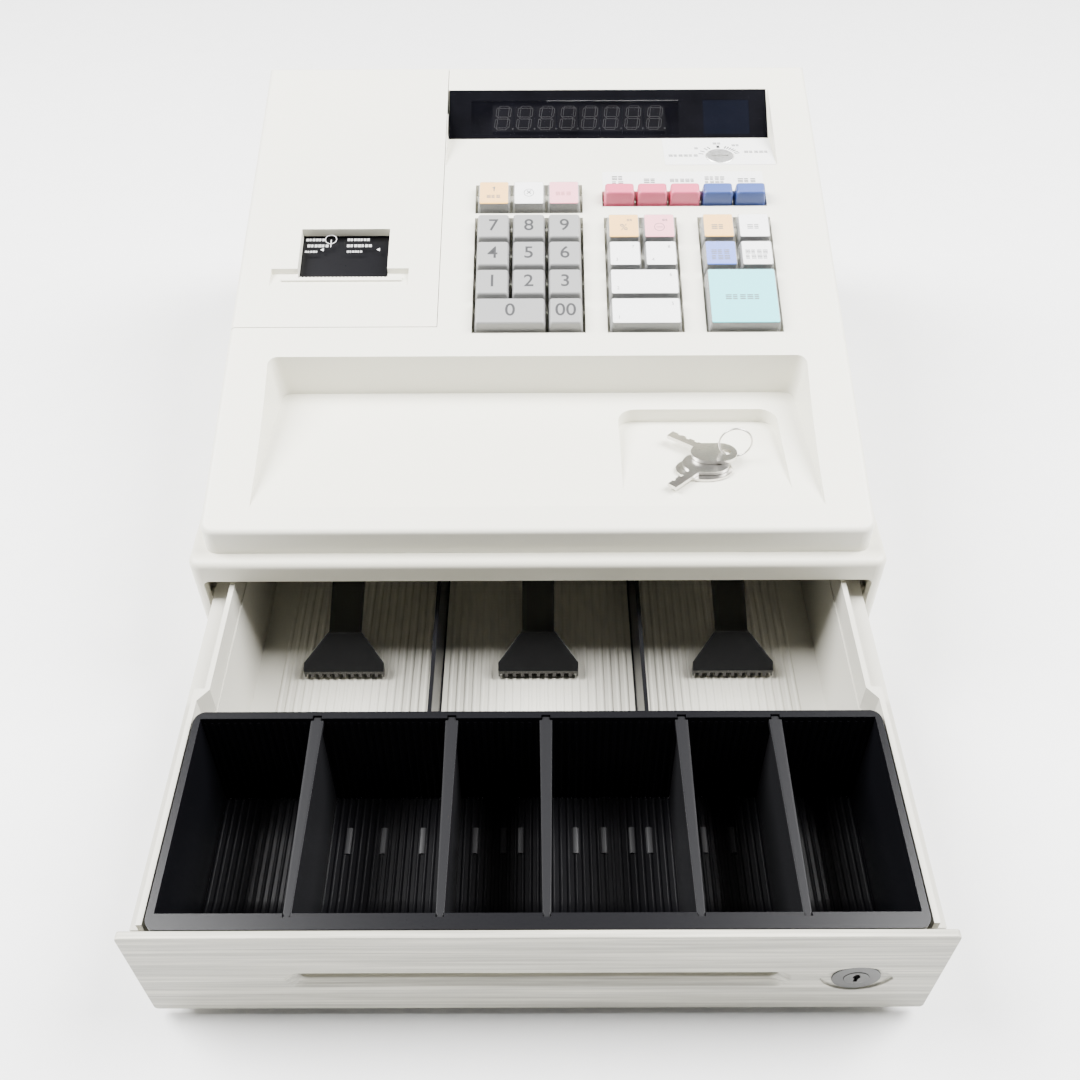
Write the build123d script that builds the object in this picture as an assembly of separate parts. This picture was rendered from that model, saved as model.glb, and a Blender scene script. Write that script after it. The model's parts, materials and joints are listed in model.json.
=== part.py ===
from build123d import *
import os
from math import cos, radians, sin, tan

# Compact electronic cash register: a drawer cabinet, a sloped upper case with
# keyboard, display and printer, and a cash drawer. Millimetres, +Z up, +X to the
# right of the person at the keys, front towards -Y. The drawer stands open at rest.
# Everything is modelled from the cabinet's front plane (Y = 0) and moved at the end
# so that the origin is the middle of the open register's footprint, on the table.

# ---- cabinet ----
case_width = 335.0
case_depth = 360.0
case_top = 84.9          # top of the cabinet above the table
case_wall = 3.0
case_corner = 6.0        # plan radius of the cabinet's corners
case_edge = 3.5          # rounding of the cabinet's top edge
foot_height = 3.0
foot_radius = 9.0
foot_inset = 26.0
front_frame = 6.0        # depth of the frame around the drawer opening
opening_side = 5.9        # frame left of and right of the drawer opening
opening_top = 73.0
opening_corner = 3.0
screw_side = 28.35       # upper case's screws, in from its sides
screw_front = 40.0
screw_rear = 17.0        # and from the cabinet's rear
outlet_inset = 27.5      # cord outlet, in from the left side
outlet_z = 30.0
outlet_radius = 4.0
outlet_length = 5.0

# ---- drawer ----
drawer_travel = 179.4
rear_room = 60.0         # behind the closed drawer, for its latch and the transformer
front_gap = 1.1          # front panel to opening, each side
front_bottom = 6.0
front_thick = 3.2
drawer_floor = 7.0       # underside of the drawer floor
floor_thick = 2.5
drawer_top = 70.0        # top of the side walls
wall_thick = 2.3
bill_margin = 14.6       # bill section narrower than the opening, each side
bill_draft = 2.0         # how much narrower it is at the floor
coin_margin = 9.9        # coin section narrower than the opening, each side
coin_length = 110.0      # front of the drawer to the step in the side walls
rail_bottom = 57.0
rail_thick = 3.0
rail_margin = 5.0        # rail edge to the inside of the cabinet wall
run_gap = 0.3            # between pieces that slide past each other
divider_x = 50.5
divider_thick = 2.0
divider_height = 38.0

# ---- bill clips ----
clip_x = 99.5
pivot_back = 28.6        # clip shaft to the drawer's rear face
post_width = 6.0         # posts that carry the clip shaft
pivot_z = 52.0
shaft_radius = 3.0
shaft_gap = 0.05         # radial running clearance
clip_hub = 6.0
clip_arm = 16.4
clip_paddle = 41.0
clip_reach = 103.5       # shaft to the paddle's teeth
clip_thick = 3.2

# ---- coin tray ----
tray_side_gap = 1.45     # tray rim to the coin section's walls
tray_length = 100.3
tray_front_gap = 0.3     # tray rim to the back of the front panel
tray_top = 72.0
tray_rim = 2.7
tray_wall = 1.8
tray_floor_gap = 0.4
tray_scoop = 35.0
tray_draft = 3.0
front_rim = 6.6
rear_rim = 3.6
side_rim = 3.0
coin_divider_x = (-96.3, -37.5, 3.6, 62.8, 103.7)
coin_divider_thick = 2.4

# ---- upper case ----
upper_margin = 7.15      # ledge of the cabinet beside the upper case
upper_inset = 7.4        # ledge of the cabinet that shows around the upper case
upper_corner = 6.6
upper_edge = 3.0
upper_draft = 1.0        # degrees
upper_wall = 2.5
panel_slope = 16.0       # degrees
panel_start = 97.1       # height of the sloped panel's plane over the front plane
upper_setback = 51.3     # cabinet's rear to where the panel meets the rear wall

# ---- change tray in the upper case ----
well_front = 20.6
well_rear = 105.3
well_side = 22.35        # upper case's side to the change tray's rim
well_draft_front = 0.6   # how far the tray's sides lean in at the front
well_draft_rear = 4.4    # and at the rear
well_floor = 103.0
coin_well_left = 41.4
coin_well_right = 123.0
coin_well_front = 32.0
coin_well_rear = 91.6
coin_well_drop = 8.5
coin_well_corner = 9.0

# ---- keyboard: places are X and s, measured up the slope ----
key_pitch = 19.2
key_gap = 0.8            # between the skirts of two keys
key_rise = 5.5           # key top above the panel
key_skirt = 4.0          # key skirt below the panel
key_lean = 0.9           # how much each side of a key leans in
key_travel = 3.0
key_wall = 1.4
stem_size = 6.0
stem_gap = 0.1
stem_drop = 10.7
well_margin = 0.8        # around a block of key cells
well_base = 2.0
well_clear = 1.0         # pressed key's skirt to the well's floor
dome_gap = 0.4           # pressed key's stem to the flattened dome
dome_height = 0.7
mat_thick = 1.2
mat_margin = 3.2         # mat past the key wells
board_thick = 1.6
board_gap = 0.3          # between the mat and the board under it
rows_centre = 163.4
number_x = -4.4
middle_x = 56.5
right_x = 107.6
feed_gap = 4.9           # between the feed row's cells and the number block's
function_x = 81.4
function_gap = 14.4      # number block's cells to the middle of the function keys
function_pitch = 18.0
function_width = 16.9
function_depth = 10.0
function_rise = 7.5
function_well_depth = 11.2
function_stem = 4.4

# ---- operator display ----
shelf_z = 163.6
shelf_front = 231.8
shelf_rear = 261.9
window_top = 290.7       # where the window meets the panel
display_left = -51.4
display_right = 135.5
window_thick = 2.0
window_inset = 0.6
window_ledge = 4.0
digit_pitch = 12.7
digit_count = 8
digit_x = 24.5
digit_width = 12.2
digit_height = 17.6
digit_depth = 6.5
switch_x = 104.0
switch_y = 241.6
switch_radius = 8.0

# ---- printer ----
cover_right = -52.0
cover_front = 123.4
cover_bottom = 100.0
cover_gap = 0.2          # half of the parting gap
bay_floor = 94.0
slot_left = -128.0
slot_right = -80.0
slot_front = 156.0
slot_rear = 187.6
notch_left = -142.0
notch_right = -68.5
notch_front = 149.7
notch_rear = 161.0
notch_z = 140.0
paper_width = 44.5
paper_radius = 26.0
paper_core = 6.0
paper_y = 242.0
paper_z = 122.5
platen_radius = 6.0
platen_y = 150.0
platen_z = 127.0

# ---- lock in the drawer front ----
lock_x = 127.5
lock_z = 34.0
lock_plate = 9.8
lock_barrel = 8.4
lock_core = 5.0

# ---- drawer latch and power parts inside the cabinet ----
latch_x = 60.0
latch_reach = 24.0       # pivot behind the closed drawer
latch_pivot_z = 70.0
latch_pin = 2.0
rear_lip = 60.0          # top of the drawer's rear wall, which the latch hooks
transformer_x = -96.0

# ---- rear display ----
rear_window_x = 60.0
rear_window_drop = 34.0  # down the rear wall from its top to the window's middle
rear_window_width = 116.0
rear_window_height = 36.0

# ---- loose keys ----
keys_x = 84.0
keys_y = 52.0
key_bow_half = 11.5
key_sheet = 1.8

# ---- rollers ----
roller_y = 14.0
roller_radius = 7.7
roller_pin = 3.0
roller_clear = 3.5       # wheel to the cabinet wall
roller_width = 6.5

# ---- worked out from the sizes above ----
case_front = -(case_depth - drawer_travel) / 2
front_y = -drawer_travel
bay_floor_z = foot_height + 2.5
inside_half = case_width / 2 - case_wall
opening_width = case_width - 2 * opening_side
coin_half = opening_width / 2 - coin_margin
bill_half = opening_width / 2 - bill_margin
rail_half = inside_half - rail_margin
roller_right = inside_half - roller_clear
roller_left = roller_right - roller_width
drawer_length = case_depth - rear_room
tray_width = 2 * (coin_half - tray_side_gap)
upper_width = case_width - 2 * upper_margin
upper_rear_top = case_depth - upper_setback
well_half_top = upper_width / 2 - well_side
well_half_front = well_half_top - well_draft_front
well_half_rear = well_half_top - well_draft_rear
well_depth = key_skirt + key_travel + well_clear
feed_s = rows_centre + 2.5 * key_pitch + feed_gap
function_s = rows_centre + 2 * key_pitch + function_gap
mat_top = -(stem_drop + key_travel + dome_gap)
latch_pivot_y = drawer_length + latch_reach
slope_tan = tan(radians(panel_slope))
panel = Plane(
    origin=(0, 0, panel_start),
    x_dir=(1, 0, 0),
    z_dir=(0, -sin(radians(panel_slope)), cos(radians(panel_slope))),
)
upper_rear_foot = case_depth - upper_inset
upper_rear_z = panel_start + slope_tan * upper_rear_top
roller_z = rail_bottom - run_gap - roller_radius
tray_rear = front_y + front_thick + tray_front_gap + tray_length
drawer_rear = front_y + drawer_length
pivot_y = drawer_rear - pivot_back
window_top_z = panel_start + slope_tan * window_top
window_length = ((window_top - shelf_rear) ** 2 + (window_top_z - shelf_z) ** 2) ** 0.5
far = 2 * case_width + 2 * case_depth     # beyond everything, for cutting blocks


def box(x0, x1, y0, y1, z0, z1):
    """A plain block between two corners."""
    middle = Pos((x0 + x1) / 2, (y0 + y1) / 2, (z0 + z1) / 2)
    return middle * Box(x1 - x0, y1 - y0, z1 - z0)


def rounded(x0, x1, y0, y1, z0, z1, radius):
    """A block whose upright edges are rounded."""
    plan = RectangleRounded(x1 - x0, y1 - y0, radius)
    return Pos((x0 + x1) / 2, (y0 + y1) / 2, z0) * extrude(plan, z1 - z0)


def rod(x0, x1, y, z, radius):
    """A round bar along X."""
    turned = Pos((x0 + x1) / 2, y, z) * Rot(0, 90, 0)
    return turned * Cylinder(radius, x1 - x0)


def side_shape(points, x0, x1):
    """A side view, given as (y, z) points, drawn out from x0 to x1."""
    face = make_face(Polyline(*[(y, z) for y, z in points], close=True))
    view = Plane(origin=(x0, 0, 0), x_dir=(0, 1, 0), z_dir=(1, 0, 0))
    return view * extrude(face, x1 - x0)


def front_shape(sketch, y0, y1):
    """A front view, drawn in X and Z, carried from y0 back to y1."""
    view = Plane(origin=(0, y0, 0), x_dir=(1, 0, 0), z_dir=(0, -1, 0))
    return view * extrude(sketch, y0 - y1)


def panel_point(s, n):
    """The (y, z) place of a point s up the sloped panel and n above it."""
    a = radians(panel_slope)
    return (s * cos(a) - n * sin(a), panel_start + s * sin(a) + n * cos(a))


def on_panel(x, s, n, thing):
    """Place a thing at x and s on the sloped panel, n above it."""
    return panel.location * Pos(x, s, n) * thing


# ------------------------------------------------------------------ cabinet


def foot_places():
    xs = (-case_width / 2 + foot_inset, case_width / 2 - foot_inset)
    ys = (foot_inset, case_depth - foot_inset)
    return [(x, y) for x in xs for y in ys]


def screw_places():
    side = upper_width / 2 - screw_side
    rear = case_depth - screw_rear
    return [(-side, screw_front), (side, screw_front), (-screw_front, rear), (side, rear)]


def make_lower_case():
    """Moulded cabinet: open front, deck on top, guide channels inside."""
    half = case_width / 2
    shell = rounded(-half, half, 0, case_depth, foot_height, case_top, case_corner)
    shell = fillet(shell.faces().sort_by(Axis.Z)[-1].edges(), case_edge)
    inside = inside_half
    shell -= box(
        -inside, inside, front_frame, case_depth - case_wall,
        bay_floor_z, case_top - case_wall,
    )
    mouth = RectangleRounded(opening_width, opening_top - bay_floor_z, opening_corner)
    mouth = Pos(0, (opening_top + bay_floor_z) / 2) * mouth
    shell -= front_shape(mouth, -1, front_frame + 1)
    for side in (-1, 1):
        low, high = sorted((side * (rail_half - 3.5), side * (inside + 0.5)))
        below = box(low, high, 30, case_depth - 20, rail_bottom - run_gap - 3, rail_bottom - run_gap)
        rail_top = rail_bottom + rail_thick
        above = box(low, high, 30, case_depth - 20, rail_top + run_gap, rail_top + run_gap + 2)
        pin_left, pin_right = sorted((side * (roller_left - 0.5), side * (inside + 0.5)))
        pin = rod(pin_left, pin_right, roller_y, roller_z, roller_pin)
        shell += [below, above, pin]
    for x, y in screw_places():
        shell -= Pos(x, y, case_top) * Cylinder(1.8, 12)
    cable_hole = rounded(-20, 20, drawer_length, drawer_length + 18, case_top - 6, case_top + 1, 4)
    shell -= cable_hole
    outlet = Pos(outlet_inset - half, case_depth - outlet_length / 2, outlet_z) * Rot(90, 0, 0)
    shell += outlet * Cylinder(outlet_radius + case_wall, outlet_length)
    shell -= outlet * Cylinder(outlet_radius, 4 * outlet_length)
    for x in (latch_x - 5.5, latch_x + 3.0):
        shell += box(x, x + 2.5, latch_pivot_y - 6, latch_pivot_y + 6, latch_pivot_z - 8, case_top - 1)
    shell += rod(latch_x - 4.5, latch_x + 4.5, latch_pivot_y, latch_pivot_z, latch_pin)
    return shell


def make_rubber_feet():
    feet = []
    for x, y in foot_places():
        foot = Pos(x, y, foot_height / 2) * Cylinder(foot_radius, foot_height)
        feet.append(chamfer(foot.faces().sort_by(Axis.Z)[0].edges(), 1.0))
    return feet


def make_case_screws():
    """Pan head screws that hold the upper case down from inside the cabinet."""
    screws = []
    for x, y in screw_places():
        head = Pos(x, y, case_top - case_wall - 1.2) * Cylinder(3.4, 2.0)
        shank = Pos(x, y, case_top - case_wall / 2 + 2) * Cylinder(1.5, case_wall + 8)
        screws.append(head + shank)
    return screws


def make_drawer_rollers():
    rollers = []
    for side in (-1, 1):
        x0, x1 = sorted((side * roller_left, side * roller_right))
        wheel = rod(x0, x1, roller_y, roller_z, roller_radius)
        wheel = chamfer(wheel.edges(), 0.6)
        rollers.append(wheel - rod(x0 - 1, x1 + 1, roller_y, roller_z, roller_pin + shaft_gap))
    return rollers


def make_drawer_latch():
    """Lever that hooks over the drawer's rear wall; drawn in its released place."""
    wall = drawer_length
    lever = side_shape(
        [(wall - 10, rear_lip + 4.2), (wall - 5, rear_lip + 4.2), (wall - 5, latch_pivot_z - 1.5),
         (latch_pivot_y - 8, latch_pivot_z - 3), (latch_pivot_y + 7, latch_pivot_z - 3),
         (latch_pivot_y + 7, latch_pivot_z + 3), (latch_pivot_y - 12, latch_pivot_z + 4.5),
         (wall - 10, latch_pivot_z + 3)],
        latch_x - 1.8, latch_x + 1.8,
    )
    lever += rod(latch_x - 2.4, latch_x + 2.4, latch_pivot_y, latch_pivot_z, 4.4)
    return lever - rod(latch_x - 4, latch_x + 4, latch_pivot_y, latch_pivot_z, latch_pin + shaft_gap)


def make_latch_solenoid():
    """Pull solenoid behind the latch: bent steel frame, coil and core."""
    y0, y1 = latch_pivot_y + 9, latch_pivot_y + 28
    z0, z1 = latch_pivot_z - 14, latch_pivot_z + 10
    left, right = latch_x - 12, latch_x + 12
    frame = box(left, right, y0, y1, z0, z0 + 2) + box(left, left + 2, y0, y1, z0, z1)
    frame += box(right - 2, right, y0, y1, z0, z1)
    middle = (y0 + y1) / 2
    coil = Pos(latch_x, middle, z0 + 13) * Cylinder(8.5, 20)
    core = Pos(latch_x, middle, z0 + 15) * Cylinder(3, 19)
    return [frame, coil - core, core]


def make_power_transformer():
    """Laminated transformer with its winding, on the cabinet floor."""
    base = bay_floor_z
    x, y = transformer_x, drawer_length + 28
    core = box(x - 22, x + 22, y - 20, y + 20, base + 4, base + 42)
    core -= box(x - 12, x + 12, y - 21, y + 21, base + 13, base + 33)
    core += box(x - 4, x + 4, y - 20, y + 20, base + 12, base + 34)
    winding = rounded(x - 11.5, x + 11.5, y - 19, y + 19, base + 13.3, base + 32.7, 3)
    winding -= box(x - 4.2, x + 4.2, y - 20, y + 20, base + 11, base + 35)
    bracket = box(x - 30, x + 30, y - 10, y + 10, base + 0.1, base + 2.6)
    for left in (x - 24.7, x + 22.2):
        bracket += box(left, left + 2.5, y - 10, y + 10, base + 1, base + 30)
    bracket += box(x - 23, x + 23, y - 10, y + 10, base + 1, base + 3.8)
    return [core, winding, bracket]


# ------------------------------------------------------------------- drawer


def make_drawer_body():
    """Moulded drawer: wide coin section, drafted bill section, outer rails."""
    step_y = front_y + coin_length
    back = front_y + front_thick
    floor_top = drawer_floor + floor_thick
    outer_bill = bill_half + wall_thick
    outer_coin = coin_half + wall_thick
    body = box(-outer_bill, outer_bill, back, drawer_rear, drawer_floor, drawer_top)
    body += box(-outer_coin, outer_coin, back, step_y + 8, drawer_floor, drawer_top)
    for side in (-1, 1):
        low, high = sorted((side * (outer_bill - 1), side * rail_half))
        rail = box(low, high, back + 6, drawer_rear, rail_bottom, rail_bottom + rail_thick)
        body += rail
    coin_plan = make_face(Polyline(
        (-coin_half, back + wall_thick), (coin_half, back + wall_thick),
        (coin_half, step_y + 1.5), (bill_half, step_y + 7.5), (bill_half, step_y + 12),
        (-bill_half, step_y + 12), (-bill_half, step_y + 7.5), (-coin_half, step_y + 1.5),
        close=True,
    ))
    body -= Pos(0, 0, floor_top + 45) * extrude(coin_plan, far)
    body -= Pos(0, 0, floor_top) * extrude(
        make_face(Polyline(
            (-coin_half, back + wall_thick), (coin_half, back + wall_thick),
            (coin_half, step_y + 1.5), (-coin_half, step_y + 1.5), close=True,
        )), far)
    rear_in = drawer_rear - wall_thick
    length = rear_in - step_y
    middle = (rear_in + step_y) / 2
    bottom = Pos(0, middle, floor_top) * Rectangle(2 * (bill_half - bill_draft), length)
    brow = Pos(0, middle, floor_top + 45) * Rectangle(2 * (bill_half - 0.6), length)
    body -= loft([bottom, brow])
    body -= box(-bill_half, bill_half, step_y, rear_in, floor_top + 45, far)
    body -= box(-far, far, rear_in - 1, far, rear_lip, far)
    body -= box(-far, far, back - 1, back + wall_thick + 1, 20.5, far)
    side_post = bill_half - post_width
    spans = ((-bill_half - 0.5, -side_post), (side_post, bill_half + 0.5), (-58.5, -54.5), (54.5, 58.5))
    for x0, x1 in spans:
        post = box(x0, x1, pivot_y - 7, pivot_y + 7, floor_top - 1, pivot_z)
        post += rod(x0, x1, pivot_y, pivot_z, 7)
        body += post - rod(x0 + 1 if x0 < -100 else x0 - 1, x1 - 1 if x1 > 100 else x1 + 1,
                           pivot_y, pivot_z, shaft_radius + shaft_gap)
    return body


def make_clip_shaft():
    half = bill_half - 2.5
    return rod(-half, half, pivot_y, pivot_z, shaft_radius)


def make_bill_clip(x):
    """Sprung bill clip: hub on the shaft, tapering arm and a toothed paddle."""
    tip = pivot_y - clip_reach
    bend = tip + 17
    side = side_shape(
        [(pivot_y, pivot_z + 5.5), (bend + 2, 27.5), (bend - 1, 26.5), (tip, 16.5),
         (tip, 11.6), (tip + 2.5, 11.6), (bend, 22.5), (bend + 2, 27.5 - clip_thick),
         (pivot_y, pivot_z - 1.5)],
        x - 30, x + 30,
    )
    arm = clip_arm / 2
    wide = clip_paddle / 2
    plan = make_face(Polyline(
        (x - arm - 0.6, pivot_y + 8), (x - arm, bend + 1), (x - wide, tip + 4), (x - wide, tip - 1),
        (x + wide, tip - 1), (x + wide, tip + 4), (x + arm, bend + 1), (x + arm + 0.6, pivot_y + 8),
        close=True,
    ))
    clip = side & extrude(plan, 100)
    clip += rod(x - arm - 0.6, x + arm + 0.6, pivot_y, pivot_z, clip_hub)
    teeth = 10
    pitch = clip_paddle / teeth
    for i in range(teeth):
        at = x - clip_paddle / 2 + (i + 0.5) * pitch
        clip -= box(at - pitch * 0.27, at + pitch * 0.27, tip - 1, tip + 1.8, 10, 14.2)
    return clip - rod(x - 30, x + 30, pivot_y, pivot_z, shaft_radius + shaft_gap)


def make_bill_dividers():
    """Two loose plates that part the bill section, with a thicker foot."""
    floor_top = drawer_floor + floor_thick
    dividers = []
    for x in (-divider_x, divider_x):
        t = divider_thick / 2
        y0, y1 = tray_rear + 1.0, drawer_rear - wall_thick - 0.3
        plate = side_shape(
            [(y0, floor_top + 0.1), (y1, floor_top + 0.1), (y1, floor_top + divider_height - 8),
             (y1 - 8, floor_top + divider_height), (y0 + 5, floor_top + divider_height),
             (y0, floor_top + divider_height - 5)],
            x - t, x + t,
        )
        plate += box(x - t - 0.8, x + t + 0.8, y0 + 2, y1, floor_top + 0.1, floor_top + 2.0)
        dividers.append(plate)
    return dividers


def make_drawer_front():
    """Front panel with a finger groove and a lens shaped dish for the lock."""
    width = opening_width - 2 * front_gap
    height = opening_top - front_gap - front_bottom + 0.1
    centre_z = front_bottom + height / 2
    face = Pos(0, centre_z) * RectangleRounded(width, height, 2.0)
    front = front_shape(face, front_y, front_y + front_thick)
    groove_z = 35.6
    hood = front_shape(Pos(0, groove_z) * SlotOverall(198, 13), front_y + 1, front_y + 7.6)
    boss = front_shape(Pos(lock_x, lock_z) * Circle(12.2), front_y + 1, front_y + 6.0)
    front += [hood, boss]
    mouth = Plane(origin=(0, front_y - 0.01, 0), x_dir=(1, 0, 0), z_dir=(0, -1, 0))
    throat = Plane(origin=(0, front_y + 2.6, 0), x_dir=(1, 0, 0), z_dir=(0, -1, 0))
    front -= loft([
        throat * Pos(0, groove_z) * SlotOverall(193, 8.6),
        mouth * Pos(0, groove_z - 1.6) * SlotOverall(203, 13.2),
    ])
    front -= front_shape(Pos(0, groove_z) * SlotOverall(193, 8.6), front_y + 1, front_y + 6.0)
    lens = Pos(lock_x, lock_z - 5.2) * Circle(15.6)
    lens = lens & (Pos(lock_x, lock_z + 5.2) * Circle(15.6))
    front -= front_shape(lens, front_y - 1, front_y + 1.2)
    front -= front_shape(Pos(lock_x, lock_z) * Circle(lock_barrel + 0.1), front_y - 1, front_y + 8)
    for side in (-1, 1):
        x0, x1 = sorted((side * (width / 2 - 1.5), side * (width / 2 - 3.5)))
        front += box(x0, x1, front_y + 1, front_y + 5.2, front_bottom + 4, front_bottom + height - 14)
    return front


def make_lock_housing():
    plate = front_shape(Pos(lock_x, lock_z) * Circle(lock_plate), front_y + 0.5, front_y + 1.1)
    barrel = front_shape(Pos(lock_x, lock_z) * Circle(lock_barrel), front_y + 1.1, front_y + 6.2)
    housing = plate + barrel
    return housing - front_shape(Pos(lock_x, lock_z) * Circle(lock_core + 0.05), front_y - 1, front_y + 8)


def make_lock_rotor():
    """Lock core with its key slot and a short tailpiece behind the panel."""
    core = front_shape(Pos(lock_x, lock_z) * Circle(lock_core), front_y + 0.3, front_y + 6.5)
    slot = Pos(lock_x, lock_z) * (Rectangle(1.5, 6.4) + Pos(0, 1.0) * Circle(1.5))
    core -= front_shape(slot, front_y - 1, front_y + 4)
    tail = Pos(lock_x, lock_z - 3.5) * SlotOverall(16, 5.4, rotation=90)
    return core + front_shape(tail, front_y + 6.5, front_y + 7.7)


# ---------------------------------------------------------------- coin tray


def tray_section(grow=0.0):
    """Side view of the coin tray's inside, with its scooped front."""
    rear = tray_rear - rear_rim
    front = tray_rear - tray_length + front_rim
    floor = drawer_floor + floor_thick + tray_floor_gap + tray_wall
    top = tray_top + 5
    outline = Line((rear, top), (rear, tray_top))
    outline += Line((rear, tray_top), (rear - tray_draft, floor))
    outline += Line((rear - tray_draft, floor), (front + tray_scoop, floor))
    outline += RadiusArc((front + tray_scoop, floor), (front, floor + tray_scoop), tray_scoop)
    outline += Line((front, floor + tray_scoop), (front, top))
    outline += Line((front, top), (rear, top))
    face = make_face(outline)
    return offset(face, grow) if grow else face


def from_side(face, x0, x1):
    view = Plane(origin=(x0, 0, 0), x_dir=(0, 1, 0), z_dir=(1, 0, 0))
    return view * extrude(face, x1 - x0)


def make_coin_tray():
    inner_half = tray_width / 2 - side_rim
    outer_half = inner_half + tray_wall
    tub = from_side(tray_section(tray_wall), -outer_half, outer_half)
    tub &= box(-far, far, -far, far, 0, tray_top)
    rim = rounded(
        -tray_width / 2, tray_width / 2, tray_rear - tray_length, tray_rear,
        tray_top - tray_rim, tray_top, 5.0,
    )
    tray = tub + rim
    tray -= from_side(tray_section(), -inner_half, inner_half)
    for x in coin_divider_x:
        tray -= box(x - 2.0, x + 2.0, tray_rear - rear_rim - 1, tray_rear - rear_rim + 1.6,
                    tray_top - 4.4, tray_top + 1)
        front = tray_rear - tray_length + front_rim
        tray -= box(x - 1.6, x + 1.6, front - 1.6, front + 1, tray_top - 4.4, tray_top + 1)
    return tray


def make_coin_dividers():
    """Five loose plates with a thicker top edge and a tab at each end."""
    dividers = []
    rear = tray_rear - rear_rim
    front = tray_rear - tray_length + front_rim
    section = tray_section(-0.35)
    for x in coin_divider_x:
        t = coin_divider_thick / 2
        plate = from_side(section, x - t, x + t)
        plate &= box(-far, far, -far, far, 0, tray_top - 1.0)
        edge = make_face(Polyline(
            (x - 2.8, rear - 0.35), (x - 1.7, front + 0.35),
            (x + 1.7, front + 0.35), (x + 2.8, rear - 0.35), close=True,
        ))
        plate += Pos(0, 0, tray_top - 3.4) * extrude(edge, 2.4)
        plate += box(x - 1.7, x + 1.7, rear - 1, rear + 1.3, tray_top - 4.0, tray_top - 1.0)
        plate += box(x - 1.3, x + 1.3, front - 1.3, front + 1, tray_top - 4.0, tray_top - 1.0)
        dividers.append(plate)
    return dividers


# --------------------------------------------------------------- upper case


def upper_solid(inset, bottom):
    """The upper case's form moved inwards by inset: drafted plan under a sloped roof."""
    plan = RectangleRounded(
        upper_width - 2 * inset, case_depth - 2 * upper_inset - 2 * inset,
        upper_corner - inset,
    )
    block = Pos(0, case_depth / 2, bottom) * extrude(plan, upper_rear_z - bottom + 20, taper=upper_draft)
    run = (upper_rear_foot - upper_rear_top) / (upper_rear_z - case_top)
    low = case_top - 60
    outline = make_face(Polyline(
        (-80, low), (upper_rear_foot + run * 60, low),
        (upper_rear_top, upper_rear_z), (-80, panel_start - 80 * slope_tan), close=True,
    ))
    if inset:
        outline = offset(outline, -inset, kind=Kind.INTERSECTION)
    return block & from_side(outline, -far, far)


def roof_face(body):
    """The sloped top face of the upper case's form."""
    up = cos(radians(panel_slope))
    return [f for f in body.faces() if abs(f.normal_at().Z - up) < 1e-4 and f.normal_at().Y < 0][0]


def key_wells():
    """Each key well as (x, s, width, height of the opening)."""
    cells = [
        (number_x, rows_centre, 3, 4),
        (number_x, feed_s, 3, 1),
        (middle_x, rows_centre, 2, 4),
        (right_x, rows_centre, 2, 4),
    ]
    wells = [
        (x, s, c * key_pitch + 2 * well_margin, r * key_pitch + 2 * well_margin)
        for x, s, c, r in cells
    ]
    wells.append((function_x, function_s, 5 * function_pitch + well_margin, function_well_depth))
    return wells


def key_field(margin):
    """Middle and size of a sheet that reaches margin past the key wells."""
    wells = key_wells()
    left = min(x - width / 2 for x, s, width, height in wells) - margin
    right = max(x + width / 2 for x, s, width, height in wells) + margin
    low = min(s - height / 2 for x, s, width, height in wells) - margin
    high = max(s + height / 2 for x, s, width, height in wells) + margin
    return ((left + right) / 2, (low + high) / 2, right - left, high - low)


def row_s(row):
    """Place of a key row, counted from the top row of the main blocks."""
    return rows_centre + (1.5 - row) * key_pitch


def key_plan():
    """Every key as name: (x, s, columns, rows); function keys have no columns."""
    keys = {}
    for i, name in enumerate(("7", "8", "9", "4", "5", "6", "1", "2", "3")):
        keys["key_" + name] = (number_x + (i % 3 - 1) * key_pitch, row_s(i // 3), 1, 1)
    keys["key_0"] = (number_x - key_pitch / 2, row_s(3), 2, 1)
    keys["key_00"] = (number_x + key_pitch, row_s(3), 1, 1)
    for i, name in enumerate(("feed", "multiply", "clear")):
        keys["key_" + name] = (number_x + (i - 1) * key_pitch, feed_s, 1, 1)
    left, right = middle_x - key_pitch / 2, middle_x + key_pitch / 2
    keys["key_percent"] = (left, row_s(0), 1, 1)
    keys["key_minus"] = (right, row_s(0), 1, 1)
    keys["key_department_3"] = (left, row_s(1), 1, 1)
    keys["key_department_4"] = (right, row_s(1), 1, 1)
    keys["key_department_2"] = (middle_x, row_s(2), 2, 1)
    keys["key_department_1"] = (middle_x, row_s(3), 2, 1)
    left, right = right_x - key_pitch / 2, right_x + key_pitch / 2
    keys["key_credit"] = (left, row_s(0), 1, 1)
    keys["key_cheque"] = (right, row_s(0), 1, 1)
    keys["key_shift"] = (left, row_s(1), 1, 1)
    keys["key_subtotal"] = (right, row_s(1), 1, 1)
    keys["key_cash"] = (right_x, row_s(2.5), 2, 2)
    for i in range(5):
        x = function_x + (i - 2) * function_pitch
        keys["key_function_%d" % (i + 1)] = (x, function_s, 0, 0)
    return keys


def window_plane():
    """Plane of the operator window: x along the window, y up its incline."""
    return Plane(
        origin=(0, shelf_rear, shelf_z),
        x_dir=(1, 0, 0),
        z_dir=(0, -(window_top_z - shelf_z), window_top - shelf_rear),
    )


def display_recess(grow):
    """Shelf and window recess; grow thickens it to its surrounding wall."""
    top_z = window_top_z
    lift = 30.0
    incline = (top_z - shelf_z) / (window_top - shelf_rear)
    points = [
        (shelf_front - 40 - grow, shelf_z - grow),
        (shelf_rear + grow * 0.2, shelf_z - grow),
        (window_top + lift + grow * 1.6, top_z + incline * lift - grow * 0.2),
        (window_top + lift, top_z + 60),
        (shelf_front - 40 - grow, top_z + 60),
    ]
    left = display_left if not grow else display_left - 2
    return side_shape(points, left, display_right + grow)


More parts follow.
